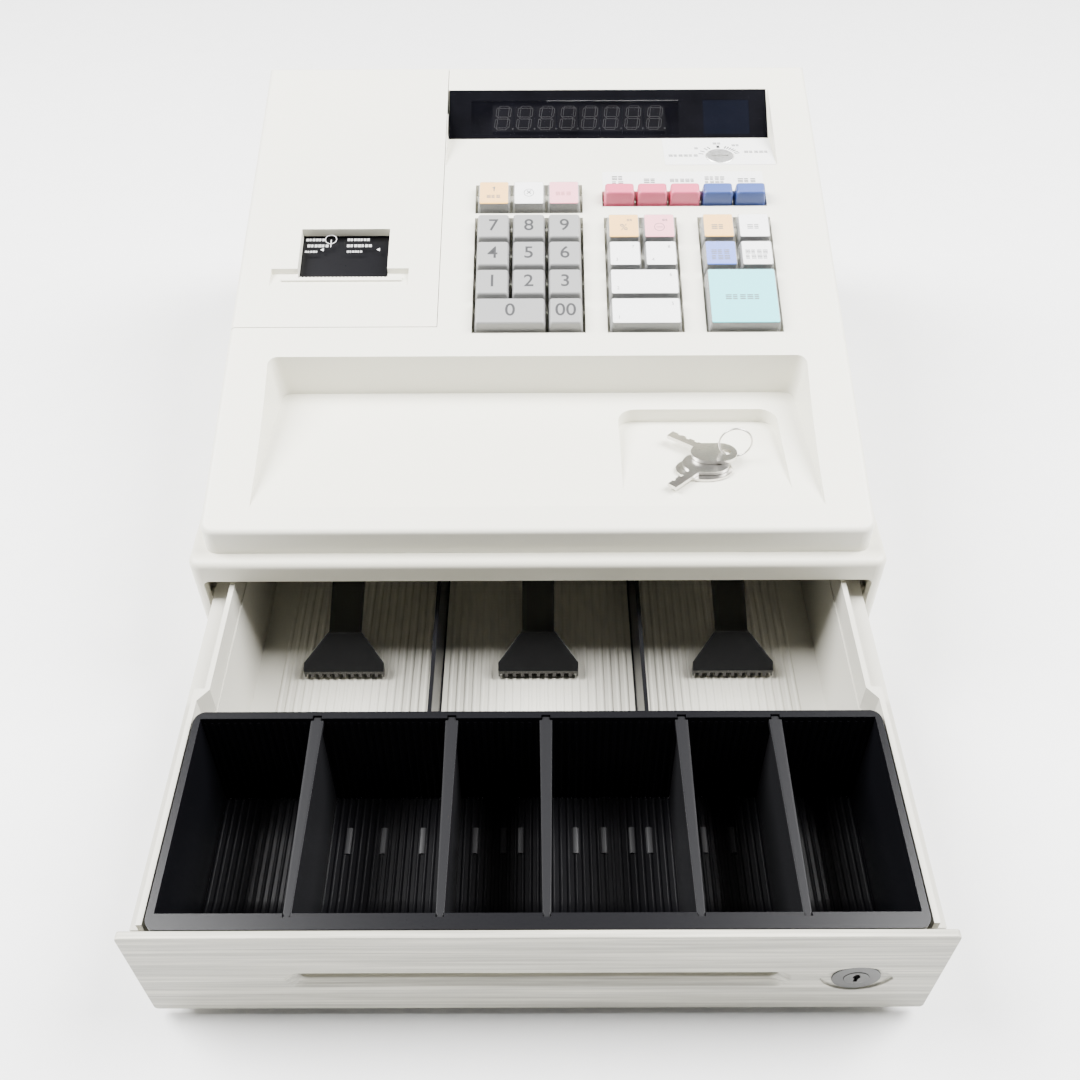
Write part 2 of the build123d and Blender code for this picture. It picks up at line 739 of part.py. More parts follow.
def rear_plane():
    """Plane of the rear wall: x to the left seen from behind, y up the wall."""
    rise = upper_rear_z - case_top
    run = upper_rear_foot - upper_rear_top
    return Plane(origin=(0, upper_rear_top, upper_rear_z), x_dir=(-1, 0, 0), z_dir=(0, rise, run))


def cover_region(gap):
    """Space of the printer cover, gap inside its parting line."""
    return box(-far, cover_right - gap, cover_front + gap, far, cover_bottom + gap, far)


def make_upper_case():
    """Sloped upper case with change tray, key wells, display recess and printer bay."""
    body = upper_solid(0, case_top)
    body = fillet(roof_face(body).edges(), upper_edge)
    hollow = upper_solid(upper_wall, case_top - 2)

    floor = Pos(0, 0, well_floor) * make_face(Polyline(
        (-well_half_front, well_front), (well_half_front, well_front),
        (well_half_rear, well_rear), (-well_half_rear, well_rear), close=True,
    ))
    lid = Pos(0, 0, well_floor + 26) * make_face(Polyline(
        (-well_half_top, well_front), (well_half_top, well_front),
        (well_half_top, well_rear), (-well_half_top, well_rear), close=True,
    ))
    well = loft([floor, lid])
    well = fillet([e for e in well.edges() if abs(e.center().Z - well_floor - 13) < 2
                   and e.center().Y > well_rear - 1], 5.0)
    well_pod = box(-well_half_top - upper_wall, well_half_top + upper_wall,
                   0, well_rear + upper_wall, well_floor - upper_wall, far)
    coin_side = side_shape(
        [(coin_well_front, well_floor), (coin_well_rear, well_floor - coin_well_drop),
         (coin_well_rear + 20, well_floor - coin_well_drop), (coin_well_rear + 20, well_floor + 6),
         (coin_well_front, well_floor + 6)],
        coin_well_left, coin_well_right,
    )
    coin_well = coin_side & rounded(
        coin_well_left, coin_well_right, coin_well_front - 10, coin_well_rear,
        80, well_floor + 3, coin_well_corner,
    )
    coin_pod = box(coin_well_left - upper_wall, coin_well_right + upper_wall,
                   coin_well_front - 4, coin_well_rear + upper_wall,
                   well_floor - coin_well_drop - upper_wall, far)

    hollow -= well_pod
    hollow -= coin_pod
    hollow -= display_recess(upper_wall * 2)
    bay_pod = box(-far, cover_right + cover_gap + upper_wall, cover_front - cover_gap - upper_wall, far,
                  bay_floor - upper_wall, far)
    bay = upper_solid(upper_wall, case_top - 2) & box(
        -far, cover_right + cover_gap, cover_front - cover_gap, far, bay_floor, far)
    hollow -= bay_pod
    for x, s, width, height in key_wells():
        hollow -= on_panel(x, s, 0, Pos(0, 0, 5) * Box(
            width + 2 * upper_wall, height + 2 * upper_wall, 2 * (well_depth + well_base) + 10))

    body -= hollow
    body -= well
    body -= coin_well
    body -= display_recess(0)
    body -= cover_region(-cover_gap)
    body -= bay
    glass = window_plane()
    body -= glass.location * box(
        display_left - 1, display_right - 1.2, window_inset, window_length - window_inset,
        -window_thick, 5)
    body -= glass.location * box(
        display_left + window_ledge, display_right - window_ledge, window_ledge, window_length - window_ledge,
        -20, 5)
    behind = rear_plane()
    rear_cut = Pos(-rear_window_x, -rear_window_drop, 0)
    body -= behind.location * rear_cut * Box(rear_window_width, rear_window_height, 2 * 1.4)
    body -= behind.location * rear_cut * Box(rear_window_width - 8, rear_window_height - 8, 12)
    body -= Pos(switch_x, switch_y, shelf_z) * Cylinder(switch_radius + 0.05, 16)

    for x, s, width, height in key_wells():
        body -= on_panel(x, s, 10 - well_depth, Box(width, height, 20))
    for x, s, columns, _ in key_plan().values():
        size = stem_size if columns else function_stem
        hole = Box(stem_size + 2 * stem_gap, size + 2 * stem_gap, 12)
        body -= on_panel(x, s, -well_depth, hole)
    for x, y in screw_places():
        top = well_floor - 1 if y < well_rear else case_top + 26
        post = Pos(x, y, (case_top + top) / 2) * Cylinder(4.2, top - case_top)
        post -= Pos(x, y, case_top + 4) * Cylinder(1.55, 8.4)
        body += post & upper_solid(1.0, case_top - 2)
    return body


def make_printer_cover():
    """Lift-off cover: paper slot with side cheeks and a moulded tear-off comb."""
    shell = upper_solid(0, case_top)
    shell = fillet(roof_face(shell).edges(), upper_edge)
    hollow = upper_solid(upper_wall, case_top - 2)
    pod = box(notch_left - 2, notch_right + 2, notch_front - 2, notch_rear + 2, notch_z - 2.2, far)
    hollow -= pod
    slot_s0, slot_s1 = slot_front / cos(radians(panel_slope)), slot_rear / cos(radians(panel_slope))
    middle_x_slot = (slot_left + slot_right) / 2
    slot_width = slot_right - slot_left
    slot_length = slot_s1 - slot_s0
    slot_middle = (slot_s0 + slot_s1) / 2
    hollow -= on_panel(middle_x_slot, slot_middle + 2, 0, Box(slot_width + 4, slot_length + 4, 2 * 5.5))
    cover = (shell - hollow) & cover_region(cover_gap)
    cover -= box(notch_left, notch_right, notch_front - 30, notch_rear, notch_z, far)
    cover -= on_panel(middle_x_slot, slot_middle, 0, Box(slot_width, slot_length, 30))
    comb = box(
        slot_left - 8, slot_right + 8, slot_front - 2.6, slot_front + 0.6,
        notch_z - 0.5, notch_z + 1.0,
    )
    teeth = 24
    pitch = slot_width / teeth
    for i in range(teeth):
        x = slot_left + (i + 0.5) * pitch
        notch = Pos(x, slot_front + 0.9, notch_z) * Rot(0, 0, 45) * Box(pitch * 0.66, pitch * 0.66, 6)
        comb -= notch
    return cover + comb


def make_display_window():
    glass = window_plane()
    return glass.location * box(
        display_left + 0.1, display_right - 1.4, window_inset + 0.2, window_length - window_inset - 0.2,
        -window_thick + 0.1, 0)


def make_display_board():
    """Display boards: eight digit blocks behind each window."""
    glass = window_plane()
    board = glass.location * box(digit_x - 72, digit_x + 72, 1, 32, -11.6, -10.0)
    pieces = [board]
    for i in range(digit_count):
        x = digit_x + (i - (digit_count - 1) / 2) * digit_pitch
        pieces.append(glass.location * box(
            x - digit_width / 2, x + digit_width / 2, 16.4 - digit_height / 2, 16.4 + digit_height / 2,
            -9.9, -9.9 + digit_depth))
    return pieces


def make_rear_display_window():
    place = rear_plane().location * Pos(-rear_window_x, -rear_window_drop, -0.65)
    return place * Box(rear_window_width - 0.4, rear_window_height - 0.4, 1.3)


def make_mode_switch_rotor():
    """Key switch rotor that turns in the shelf, held by a collar below it."""
    rotor = Pos(switch_x, switch_y, shelf_z - 1.2) * Cylinder(switch_radius, 3.6)
    rotor = chamfer(rotor.faces().sort_by(Axis.Z)[-1].edges(), 0.4)
    rotor += Pos(switch_x, switch_y, shelf_z - 2 * upper_wall - 1.4) * Cylinder(switch_radius + 1.6, 2.2)
    rotor += Pos(switch_x, switch_y, shelf_z - 9) * Cylinder(4, 14)
    slot = Rectangle(9.6, 1.5) + Circle(1.5)
    return rotor - Pos(switch_x, switch_y, shelf_z - 3) * extrude(slot, 6)


def make_key(x, s, columns, rows):
    """Moulded key: drafted hollow cap on a square guide stem."""
    width = columns * key_pitch - key_gap
    depth = rows * key_pitch - key_gap
    top_width = width - 2 * key_lean
    top_depth = depth - 2 * key_lean
    foot = Pos(0, 0, -key_skirt) * RectangleRounded(width, depth, 1.2)
    head = Pos(0, 0, key_rise - 1.0) * RectangleRounded(top_width, top_depth, 1.2)
    crown = Pos(0, 0, key_rise) * RectangleRounded(top_width - 1.4, top_depth - 1.4, 1.2)
    cap = loft([foot, head], ruled=True) + loft([head, crown], ruled=True)
    inside = Box(top_width - 2 * key_wall, top_depth - 2 * key_wall, key_skirt + key_rise - 1.6)
    cap -= Pos(0, 0, (key_rise - 1.6 - key_skirt) / 2 - 0.01) * inside
    top = key_rise - 1
    stem = Pos(0, 0, (top - stem_drop) / 2) * Box(stem_size, stem_size, top + stem_drop)
    return on_panel(x, s, 0, cap + stem)


def make_function_key(x, s):
    """Tall narrow key whose front face leans back."""
    foot = Pos(0, 0, -key_skirt) * RectangleRounded(function_width, function_depth, 1.2)
    head = Pos(0, 0.9, function_rise - 1.0) * RectangleRounded(function_width - 1.2, function_depth - 2.2, 1.2)
    crown = Pos(0, 0.9, function_rise) * RectangleRounded(function_width - 2.8, function_depth - 3.8, 1.2)
    cap = loft([foot, head], ruled=True) + loft([head, crown], ruled=True)
    stem = Pos(0, 0, -stem_drop / 2) * Box(stem_size, function_stem, stem_drop)
    return on_panel(x, s, 0, cap + stem)


def make_key_mat():
    """Rubber sheet with a dome under each key, drawn pressed flat."""
    x, s, width, length = key_field(mat_margin)
    sheet_top = mat_top - dome_height
    mat = on_panel(x, s, sheet_top - mat_thick / 2, Box(width, length, mat_thick))
    for x, s, columns, _ in key_plan().values():
        dome = Cylinder(3.2 if columns else 2.4, 2 * dome_height)
        mat += on_panel(x, s, sheet_top, dome)
    return mat


def make_circuit_boards():
    """Key board under the rubber mat and main board on the cabinet's deck."""
    x, s, width, length = key_field(mat_margin)
    top = mat_top - dome_height - mat_thick - board_gap
    key_board = on_panel(x, s, top - board_thick / 2, Box(width, length, board_thick))
    main_top = case_top + 6.7
    main = box(-40, upper_width / 2 - 10.4, 122, upper_rear_top - 8.7, main_top - board_thick, main_top)
    chips = []
    for x, y, a, b, h in (
        (10, 200, 24, 24, 3), (50, 180, 30, 12, 4), (100, 190, 30, 12, 4), (60, 240, 40, 18, 9),
        (120, 250, 22, 22, 12), (0, 260, 26, 12, 8),
    ):
        chips.append(box(x - a / 2, x + a / 2, y - b / 2, y + b / 2, main_top + 0.1, main_top + 0.1 + h))
    return [key_board, main] + chips


def make_printer_frame():
    """Printer chassis: two cheeks, paper guide plate and roll spindles."""
    left, right = slot_left - 3, slot_right + 3
    guide_start, guide_end, guide_drop = 167.5, 197.0, 6.4
    top = on_panel((left + right) / 2, (guide_start + guide_end) / 2, -guide_drop - 1,
                   Box(right - left, guide_end - guide_start, 2.0))
    parts = top + box(left, right, 134, 200, bay_floor + 0.3, bay_floor + 2.8)
    cheek = [
        (134, bay_floor + 0.3), (paper_y + 12, bay_floor + 0.3), (paper_y + 12, paper_z + 8),
        (paper_y - 10, paper_z + 8), panel_point(guide_end, -guide_drop - 1),
        panel_point(guide_start, -guide_drop - 1), (156, 134.2), (142, 134.2), (134, 124),
    ]
    parts += side_shape(cheek, left, left + 2)
    parts += side_shape(cheek, right - 2, right)
    spindle = paper_core - shaft_gap
    parts += rod(left + 1.5, left + 8, paper_y, paper_z, spindle)
    parts += rod(right - 8, right - 1.5, paper_y, paper_z, spindle)
    parts -= rod(left - 1, right + 1, platen_y, platen_z, 2.0 + shaft_gap)
    return parts


def make_platen_roller():
    x0, x1 = slot_left - 3, slot_right + 3
    roller = rod(x0 + 2.6, x1 - 2.6, platen_y, platen_z, platen_radius)
    return roller + rod(x0 - 1, x1 + 4, platen_y, platen_z, 2.0)


def make_paper_roll():
    middle = (slot_left + slot_right) / 2
    roll = rod(middle - paper_width / 2, middle + paper_width / 2, paper_y, paper_z, paper_radius)
    return roll - rod(middle - paper_width, middle + paper_width, paper_y, paper_z, paper_core)


def flat_key(blade_turn):
    """A flat key cut from sheet: oblong bow with a ring hole, and a notched blade."""
    blade = Pos(17, 0) * Rectangle(19, 5.0)
    for along, depth in ((12, 1.6), (17, 2.4), (22, 1.4)):
        blade -= Pos(along, -2.5) * Rectangle(2.0, depth)
    shape = SlotOverall(2 * key_bow_half, 16.0) + Rot(0, 0, blade_turn) * blade
    return extrude(shape - Pos(key_bow_half - 5.5, 0) * Circle(2.4), key_sheet)


def make_register_keys():
    """Two flat keys and an oval tag lying in the coin well, with a wire ring."""
    fall = coin_well_drop / (coin_well_rear - coin_well_front)
    floor_z = well_floor - fall * (keys_y - coin_well_front)
    bed = Plane(origin=(keys_x, keys_y, floor_z + 0.4), x_dir=(1, 0, 0), z_dir=(0, fall, 1))
    tag = Pos(-2, -5, 0) * extrude(Ellipse(14, 9.5), 1.2)
    lower = Pos(-1, -3, 1.5) * flat_key(226)
    upper = Pos(3.5, 3.5, 1.7 + key_sheet) * flat_key(140)
    ring_x = 3.5 + key_bow_half - 1.3
    ring = Pos(ring_x, 3.5, 1.7 + key_sheet + 7.2) * Rot(90, 0, 0) * Torus(8.0, 0.5)
    return [bed.location * piece for piece in (tag, lower, upper, ring)]


# ----------------------------------------------------------------- assembly


def make_parts():
    parts = {
        "lower_case": make_lower_case(),
        "rubber_feet": make_rubber_feet(),
        "case_screws": make_case_screws(),
        "drawer_rollers": make_drawer_rollers(),
        "drawer_latch": make_drawer_latch(),
        "latch_solenoid": make_latch_solenoid(),
        "power_transformer": make_power_transformer(),
        "drawer_body": make_drawer_body(),
        "drawer_front": make_drawer_front(),
        "lock_housing": make_lock_housing(),
        "lock_rotor": make_lock_rotor(),
        "clip_shaft": make_clip_shaft(),
        "bill_clip_left": make_bill_clip(-clip_x),
        "bill_clip_middle": make_bill_clip(0),
        "bill_clip_right": make_bill_clip(clip_x),
        "bill_dividers": make_bill_dividers(),
        "coin_tray": make_coin_tray(),
        "coin_dividers": make_coin_dividers(),
        "upper_case": make_upper_case(),
        "printer_cover": make_printer_cover(),
        "display_window": make_display_window(),
        "display_board": make_display_board(),
        "rear_display_window": make_rear_display_window(),
        "mode_switch_rotor": make_mode_switch_rotor(),
        "key_mat": make_key_mat(),
        "circuit_boards": make_circuit_boards(),
        "printer_frame": make_printer_frame(),
        "platen_roller": make_platen_roller(),
        "paper_roll": make_paper_roll(),
        "register_keys": make_register_keys(),
    }
    for name, (x, s, columns, rows) in key_plan().items():
        parts[name] = make_key(x, s, columns, rows) if columns else make_function_key(x, s)
    return parts


def write_parts():
    os.makedirs("parts", exist_ok=True)
    for name, shape in make_parts().items():
        solids = shape if isinstance(shape, list) else shape.solids()
        placed = Compound(children=[Pos(0, case_front, 0) * s for s in solids])
        export_step(placed, "parts/" + name + ".step")


write_parts()
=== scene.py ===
import json
from math import atan2, cos, pi, radians, sin

import bmesh
import bpy
from mathutils import Matrix, Vector

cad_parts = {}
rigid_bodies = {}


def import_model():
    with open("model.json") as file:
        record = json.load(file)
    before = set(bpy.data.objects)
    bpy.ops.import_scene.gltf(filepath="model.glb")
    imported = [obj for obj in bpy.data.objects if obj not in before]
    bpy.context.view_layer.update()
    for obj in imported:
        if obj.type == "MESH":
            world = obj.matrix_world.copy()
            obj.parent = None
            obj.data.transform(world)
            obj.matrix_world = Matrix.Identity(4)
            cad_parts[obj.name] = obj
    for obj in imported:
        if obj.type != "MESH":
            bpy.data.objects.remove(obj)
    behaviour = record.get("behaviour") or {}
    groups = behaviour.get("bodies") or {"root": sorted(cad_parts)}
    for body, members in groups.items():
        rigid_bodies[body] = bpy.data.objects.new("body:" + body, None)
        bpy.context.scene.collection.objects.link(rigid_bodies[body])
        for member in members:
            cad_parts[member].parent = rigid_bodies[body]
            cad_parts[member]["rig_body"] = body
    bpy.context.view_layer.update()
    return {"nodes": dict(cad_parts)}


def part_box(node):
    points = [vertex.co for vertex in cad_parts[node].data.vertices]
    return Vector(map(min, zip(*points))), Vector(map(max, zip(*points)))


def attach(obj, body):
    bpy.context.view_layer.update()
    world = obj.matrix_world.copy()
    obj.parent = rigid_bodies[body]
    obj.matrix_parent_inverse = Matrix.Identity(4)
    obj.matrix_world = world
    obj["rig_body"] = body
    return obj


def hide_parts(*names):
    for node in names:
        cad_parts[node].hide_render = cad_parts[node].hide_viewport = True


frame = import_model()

# ------------------------------------------------------------------ studio
# A seamless pale table, a large softbox high on each side of the register and
# a weak fill in front. The camera looks down on the open drawer.


def finish_material(name):
    """A new node material and its principled shader."""
    material = bpy.data.materials.new(name)
    material.use_nodes = True
    return material, material.node_tree.nodes["Principled BSDF"]


def add_node(material, kind, **values):
    """A node of that kind, with values for its inputs by name."""
    node = material.node_tree.nodes.new(kind)
    for key, value in values.items():
        node.inputs[key.replace("_", " ")].default_value = value
    return node


def wire(material, source, target):
    material.node_tree.links.new(source, target)


def object_noise(material, size, detail=3.0, stretch=(1, 1, 1)):
    """Noise whose grain is about size metres across, drawn out along an axis."""
    where = add_node(material, "ShaderNodeTexCoord")
    turn = add_node(material, "ShaderNodeMapping", Scale=stretch)
    noise = add_node(material, "ShaderNodeTexNoise", Scale=1 / size, Detail=detail, Roughness=0.6)
    wire(material, where.outputs["Object"], turn.inputs["Vector"])
    wire(material, turn.outputs["Vector"], noise.inputs["Vector"])
    return noise.outputs["Fac"]


def ramp(material, source, low, high, start=0.3, end=0.7):
    """Colours from low to high as source goes from start to end."""
    node = add_node(material, "ShaderNodeValToRGB")
    node.color_ramp.elements[0].position = start
    node.color_ramp.elements[1].position = end
    node.color_ramp.elements[0].color = (*low, 1)
    node.color_ramp.elements[1].color = (*high, 1)
    wire(material, source, node.inputs["Fac"])
    return node.outputs["Color"]


def base_ramp(material, shader, source, low, high, start=0.3, end=0.7):
    """Let the shader's colour go from low to high as source goes from start to end."""
    wire(material, ramp(material, source, low, high, start, end), shader.inputs["Base Color"])


def bump(material, shader, source, height, strength=1.0):
    """Small relief of that height in metres."""
    node = add_node(material, "ShaderNodeBump", Strength=strength, Distance=height)
    wire(material, source, node.inputs["Height"])
    wire(material, node.outputs["Normal"], shader.inputs["Normal"])
    return node


def mesh_object(name, work, material, smooth=35):
    """Turn a bmesh into an object whose faces are smooth up to that angle."""
    mesh = bpy.data.meshes.new(name)
    work.to_mesh(mesh)
    work.free()
    for face in mesh.polygons:
        face.use_smooth = True
    mesh.set_sharp_from_angle(angle=radians(smooth))
    mesh.materials.append(material)
    made = bpy.data.objects.new(name, mesh)
    bpy.context.scene.collection.objects.link(made)
    return made


def make_table():
    table, shader = finish_material("pale_table")
    shader.inputs["Roughness"].default_value = 0.6
    grain = object_noise(table, 0.02)
    base_ramp(table, shader, grain, (0.82, 0.82, 0.82), (0.84, 0.84, 0.84))
    bump(table, shader, grain, 0.0001, 0.2)
    work = bmesh.new()
    bmesh.ops.create_grid(work, x_segments=1, y_segments=1, size=6.0)
    mesh_object("table", work, table)


def add_softbox(name, spot, aim, size, power):
    light = bpy.data.lights.new(name, "AREA")
    light.shape = "RECTANGLE"
    light.size, light.size_y = size
    light.energy = power
    lamp = bpy.data.objects.new(name, light)
    lamp.location = spot
    lamp.rotation_euler = (Vector(aim) - Vector(spot)).to_track_quat("-Z", "Y").to_euler()
    bpy.context.scene.collection.objects.link(lamp)


def set_sky(colour, strength):
    world = bpy.data.worlds.new("studio_air")
    world.use_nodes = True
    sky = world.node_tree.nodes["Background"]
    sky.inputs["Color"].default_value = (*colour, 1)
    sky.inputs["Strength"].default_value = strength
    bpy.context.scene.world = world


def set_camera(spot, down, turn, roll, lens):
    data = bpy.data.cameras.new("camera")
    data.lens = lens
    data.sensor_width = 36.0
    data.clip_start = 0.01
    camera = bpy.data.objects.new("camera", data)
    aim = Matrix.Rotation(radians(turn), 4, "Z") @ Matrix.Rotation(radians(90 - down), 4, "X")
    camera.matrix_world = Matrix.Translation(spot) @ aim @ Matrix.Rotation(radians(roll), 4, "Z")
    bpy.context.scene.collection.objects.link(camera)
    bpy.context.scene.camera = camera


set_camera(spot=(0.0025, -0.4657, 0.49505), down=46.36, turn=0.194, roll=-0.348, lens=39.0)
make_table()
add_softbox("left_softbox", (-1.15, 0.15, 1.45), (-0.1, 0.0, 0.05), (0.9, 1.2), 150)
add_softbox("right_softbox", (1.15, 0.15, 1.45), (0.1, 0.0, 0.05), (0.9, 1.2), 150)
add_softbox("front_fill", (0, -1.9, 0.7), (0, -0.2, 0.05), (1.2, 0.5), 4)
set_sky((1.0, 0.98, 0.95), 0.12)

# ----------------------------------------------------------------- cabinet
# The lower case is one injection moulding in a warm white plastic with a fine
# spark eroded texture. It has the drawer opening in front, guide channels
# inside and the upper case screwed onto its deck.


def spread(material, source, low, high):
    """A number between low and high that follows source."""
    node = add_node(material, "ShaderNodeMapRange")
    node.inputs["To Min"].default_value = low
    node.inputs["To Max"].default_value = high
    wire(material, source, node.inputs["Value"])
    return node.outputs["Result"]


def tinted(colour, factor):
    return tuple(min(1.0, channel * factor) for channel in colour)


def textured_plastic(name, colour, rough, grain, depth, glare=0.5):
    """Moulded plastic with a fine even texture and faint flow marks."""
    material, shader = finish_material(name)
    shader.inputs["Specular IOR Level"].default_value = glare
    tone = object_noise(material, 0.09, 2.0)
    base_ramp(material, shader, tone, tinted(colour, 0.985), colour)
    sand = object_noise(material, grain, 2.0)
    wire(material, spread(material, sand, rough - 0.05, rough + 0.05), shader.inputs["Roughness"])
    bump(material, shader, sand, depth, 0.5)
    return material


def give(material, *nodes):
    """Put a material on CAD pieces that keep their shape."""
    for name in nodes:
        slots = frame["nodes"][name].data.materials
        slots.clear()
        slots.append(material)


cabinet_white = (0.68, 0.66, 0.56)
cabinet_plastic = textured_plastic("cabinet_plastic", cabinet_white, 0.46, 0.0006, 0.00003)


def softened(node, radius, material, steps=2):
    """A moulding with its sharp edges rounded; it stands for the CAD piece of that name."""
    work = bmesh.new()
    work.from_mesh(frame["nodes"][node].data)
    bmesh.ops.remove_doubles(work, verts=work.verts, dist=0.000002)
    bmesh.ops.dissolve_limit(work, angle_limit=radians(0.8), verts=work.verts, edges=work.edges)
    sharp = [e for e in work.edges if e.is_manifold and abs(e.calc_face_angle_signed(0)) > radians(28)]
    bmesh.ops.bevel(work, geom=sharp, offset=radius, offset_type="OFFSET", segments=steps,
                    profile=0.5, affect="EDGES", clamp_overlap=False, material=-1)
    bmesh.ops.triangulate(work, faces=[f for f in work.faces if len(f.verts) > 4])
    piece = mesh_object(node + "_shape", work, material)
    weights = piece.modifiers.new("even_shading", "WEIGHTED_NORMAL")
    weights.keep_sharp = True
    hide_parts(node)
    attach(piece, body_of(node))
    return piece


def body_of(node):
    return frame["nodes"][node]["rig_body"]


give(cabinet_plastic, "lower_case")

# -------------------------------------------------- feet, screws, mechanism
# Four soft rubber feet, the zinc plated screws of the upper case, nylon guide
# wheels, and the drawer's latch with its solenoid beside the transformer.


def soft_rubber(name, colour):
    material, shader = finish_material(name)
    grain = object_noise(material, 0.0008, 3.0)
    base_ramp(material, shader, grain, tinted(colour, 0.8), tinted(colour, 1.3))
    wire(material, spread(material, grain, 0.72, 0.9), shader.inputs["Roughness"])
    bump(material, shader, grain, 0.00004, 0.4)
    return material


def plated_steel(name, colour, rough, brush=(1, 1, 12)):
    """Zinc or nickel plate with fine brush marks across one axis."""
    material, shader = finish_material(name)
    shader.inputs["Metallic"].default_value = 1.0
    lines = object_noise(material, 0.0016, 4.0, brush)
    base_ramp(material, shader, lines, tinted(colour, 0.82), colour)
    wire(material, spread(material, lines, rough - 0.08, rough + 0.1), shader.inputs["Roughness"])
    bump(material, shader, lines, 0.00002, 0.35)
    return material


def laminated_iron(name):
    """Stacked sheet with dark joints, as on a small mains transformer."""
    material, shader = finish_material(name)
    where = add_node(material, "ShaderNodeTexCoord")
    stack = add_node(material, "ShaderNodeTexWave", Scale=320.0, Distortion=0.15, Detail=1.0)
    stack.bands_direction = "Y"
    wire(material, where.outputs["Object"], stack.inputs["Vector"])
    base_ramp(material, shader, stack.outputs["Fac"], (0.07, 0.065, 0.06), (0.27, 0.25, 0.23))
    shader.inputs["Metallic"].default_value = 0.6
    shader.inputs["Roughness"].default_value = 0.5
    bump(material, shader, stack.outputs["Fac"], 0.0001, 0.5)
    return material


zinc_plate = plated_steel("zinc_plate", (0.62, 0.61, 0.56), 0.38)
give(soft_rubber("foot_rubber", (0.05, 0.05, 0.05)), "rubber_feet")
give(zinc_plate, "case_screws", "drawer_latch", "latch_solenoid")
give(laminated_iron("transformer_iron"), "power_transformer")
give(textured_plastic("guide_nylon", (0.10, 0.09, 0.085), 0.42, 0.0009, 0.00003), "drawer_rollers")

# ------------------------------------------------------------- drawer body
# The drawer is a second off-white moulding. Its note section has a floor of
# fine ribs that run front to rear, so that a single note is easy to pick up.

drawer_white = (0.54, 0.525, 0.46)
drawer_plastic = textured_plastic("drawer_plastic", drawer_white, 0.42, 0.0007, 0.00002)
give(drawer_plastic, "drawer_body")


def rib_bar(work, path, across, width, height, normals):
    """A rounded rib along a path; normals point away from the surface it stands on."""
    rings = []
    outline = [(-0.5, 0.0), (-0.32, 0.75), (0.0, 1.0), (0.32, 0.75), (0.5, 0.0)]
    for point, normal in zip(path, normals):
        ring = [work.verts.new(point + across * (u * width) + normal * (v * height)) for u, v in outline]
        rings.append(ring)
    for near, away in zip(rings, rings[1:]):
        for k in range(len(outline)):
            turn = (k + 1) % len(outline)
            work.faces.new((near[k], near[turn], away[turn], away[k]))
    work.faces.new(list(reversed(rings[0])))
    work.faces.new(rings[-1])


def make_note_floor_ribs():
    """Ribs of the note section's floor, left out under the two dividers' feet."""
    drawer_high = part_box("drawer_body")[1]
    tray_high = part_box("coin_tray")[1]
    divider_low, divider_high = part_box("bill_dividers")
    sunk, foot_half, foot_room = 0.0001, 0.0018, 0.0032
    floor, divider = divider_low.z - sunk, divider_high.x - foot_half
    tray_gap, wall_gap = 0.001, 0.004
    start, end = tray_high.y + tray_gap, drawer_high.y - wall_gap
    pitch, width, height, reach = 0.0041, 0.0022, 0.0006, 0.132
    work = bmesh.new()
    count = int(reach / pitch)
    for i in range(-count, count + 1):
        x = i * pitch
        if abs(abs(x) - divider) < foot_room:
            continue
        path = [Vector((x, start, floor)), Vector((x, end, floor))]
        rib_bar(work, path, Vector((1, 0, 0)), width, height, [Vector((0, 0, 1))] * 2)
    bmesh.ops.recalc_face_normals(work, faces=work.faces)
    ribs = mesh_object("note_floor_ribs", work, drawer_plastic, 60)
    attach(ribs, "drawer")


make_note_floor_ribs()

# ------------------------------------------------- note dividers and clips
# Two loose black plates part the notes. Over each compartment a sprung clip
# with a toothed paddle pivots on one steel shaft near the drawer's rear wall.


def gloss_plastic(name, colour, rough=0.22):
    """Polished moulded plastic with faint swirl marks."""
    material, shader = finish_material(name)
    cloud = object_noise(material, 0.012, 3.0)
    base_ramp(material, shader, cloud, tinted(colour, 0.85), tinted(colour, 1.15))
    haze = object_noise(material, 0.003, 5.0, (1, 6, 1))
    wire(material, spread(material, haze, rough - 0.06, rough + 0.08), shader.inputs["Roughness"])
    bump(material, shader, haze, 0.00001, 0.15)
    return material


clip_black = gloss_plastic("clip_black", (0.006, 0.006, 0.006), 0.2)
satin_black = textured_plastic("satin_black", (0.003, 0.003, 0.004), 0.3, 0.0009, 0.00002, 0.24)
divider_black = textured_plastic("divider_black", (0.008, 0.008, 0.009), 0.42, 0.0008, 0.00003, 0.14)
give(plated_steel("shaft_steel", (0.6, 0.6, 0.6), 0.25, (12, 1, 1)), "clip_shaft")
softened("bill_dividers", 0.0003, satin_black)
for clip in ("bill_clip_left", "bill_clip_middle", "bill_clip_right"):
    softened(clip, 0.00035, clip_black)

# ------------------------------------------------------- drawer front, lock
# The front panel is a separate moulding with a streaked, wood-like grain, a
# long finger groove, and a lens shaped dish around the cylinder lock.


def streaked_plastic(name, colour):
    """Moulded plastic with long uneven streaks across the panel."""
    material, shader = finish_material(name)
    streak = object_noise(material, 0.004, 4.0, (0.03, 1, 1.0))
    fine = object_noise(material, 0.0015, 3.0, (0.012, 1, 1.0))
    both = add_node(material, "ShaderNodeMath")
    both.operation = "MULTIPLY"
    wire(material, streak, both.inputs[0])
    wire(material, fine, both.inputs[1])
    lines = both.outputs["Value"]
    base_ramp(material, shader, lines, tinted(colour, 0.62), tinted(colour, 1.08), 0.17, 0.35)
    wire(material, spread(material, fine, 0.38, 0.55), shader.inputs["Roughness"])
    bump(material, shader, lines, 0.0006, 0.8)
    return material


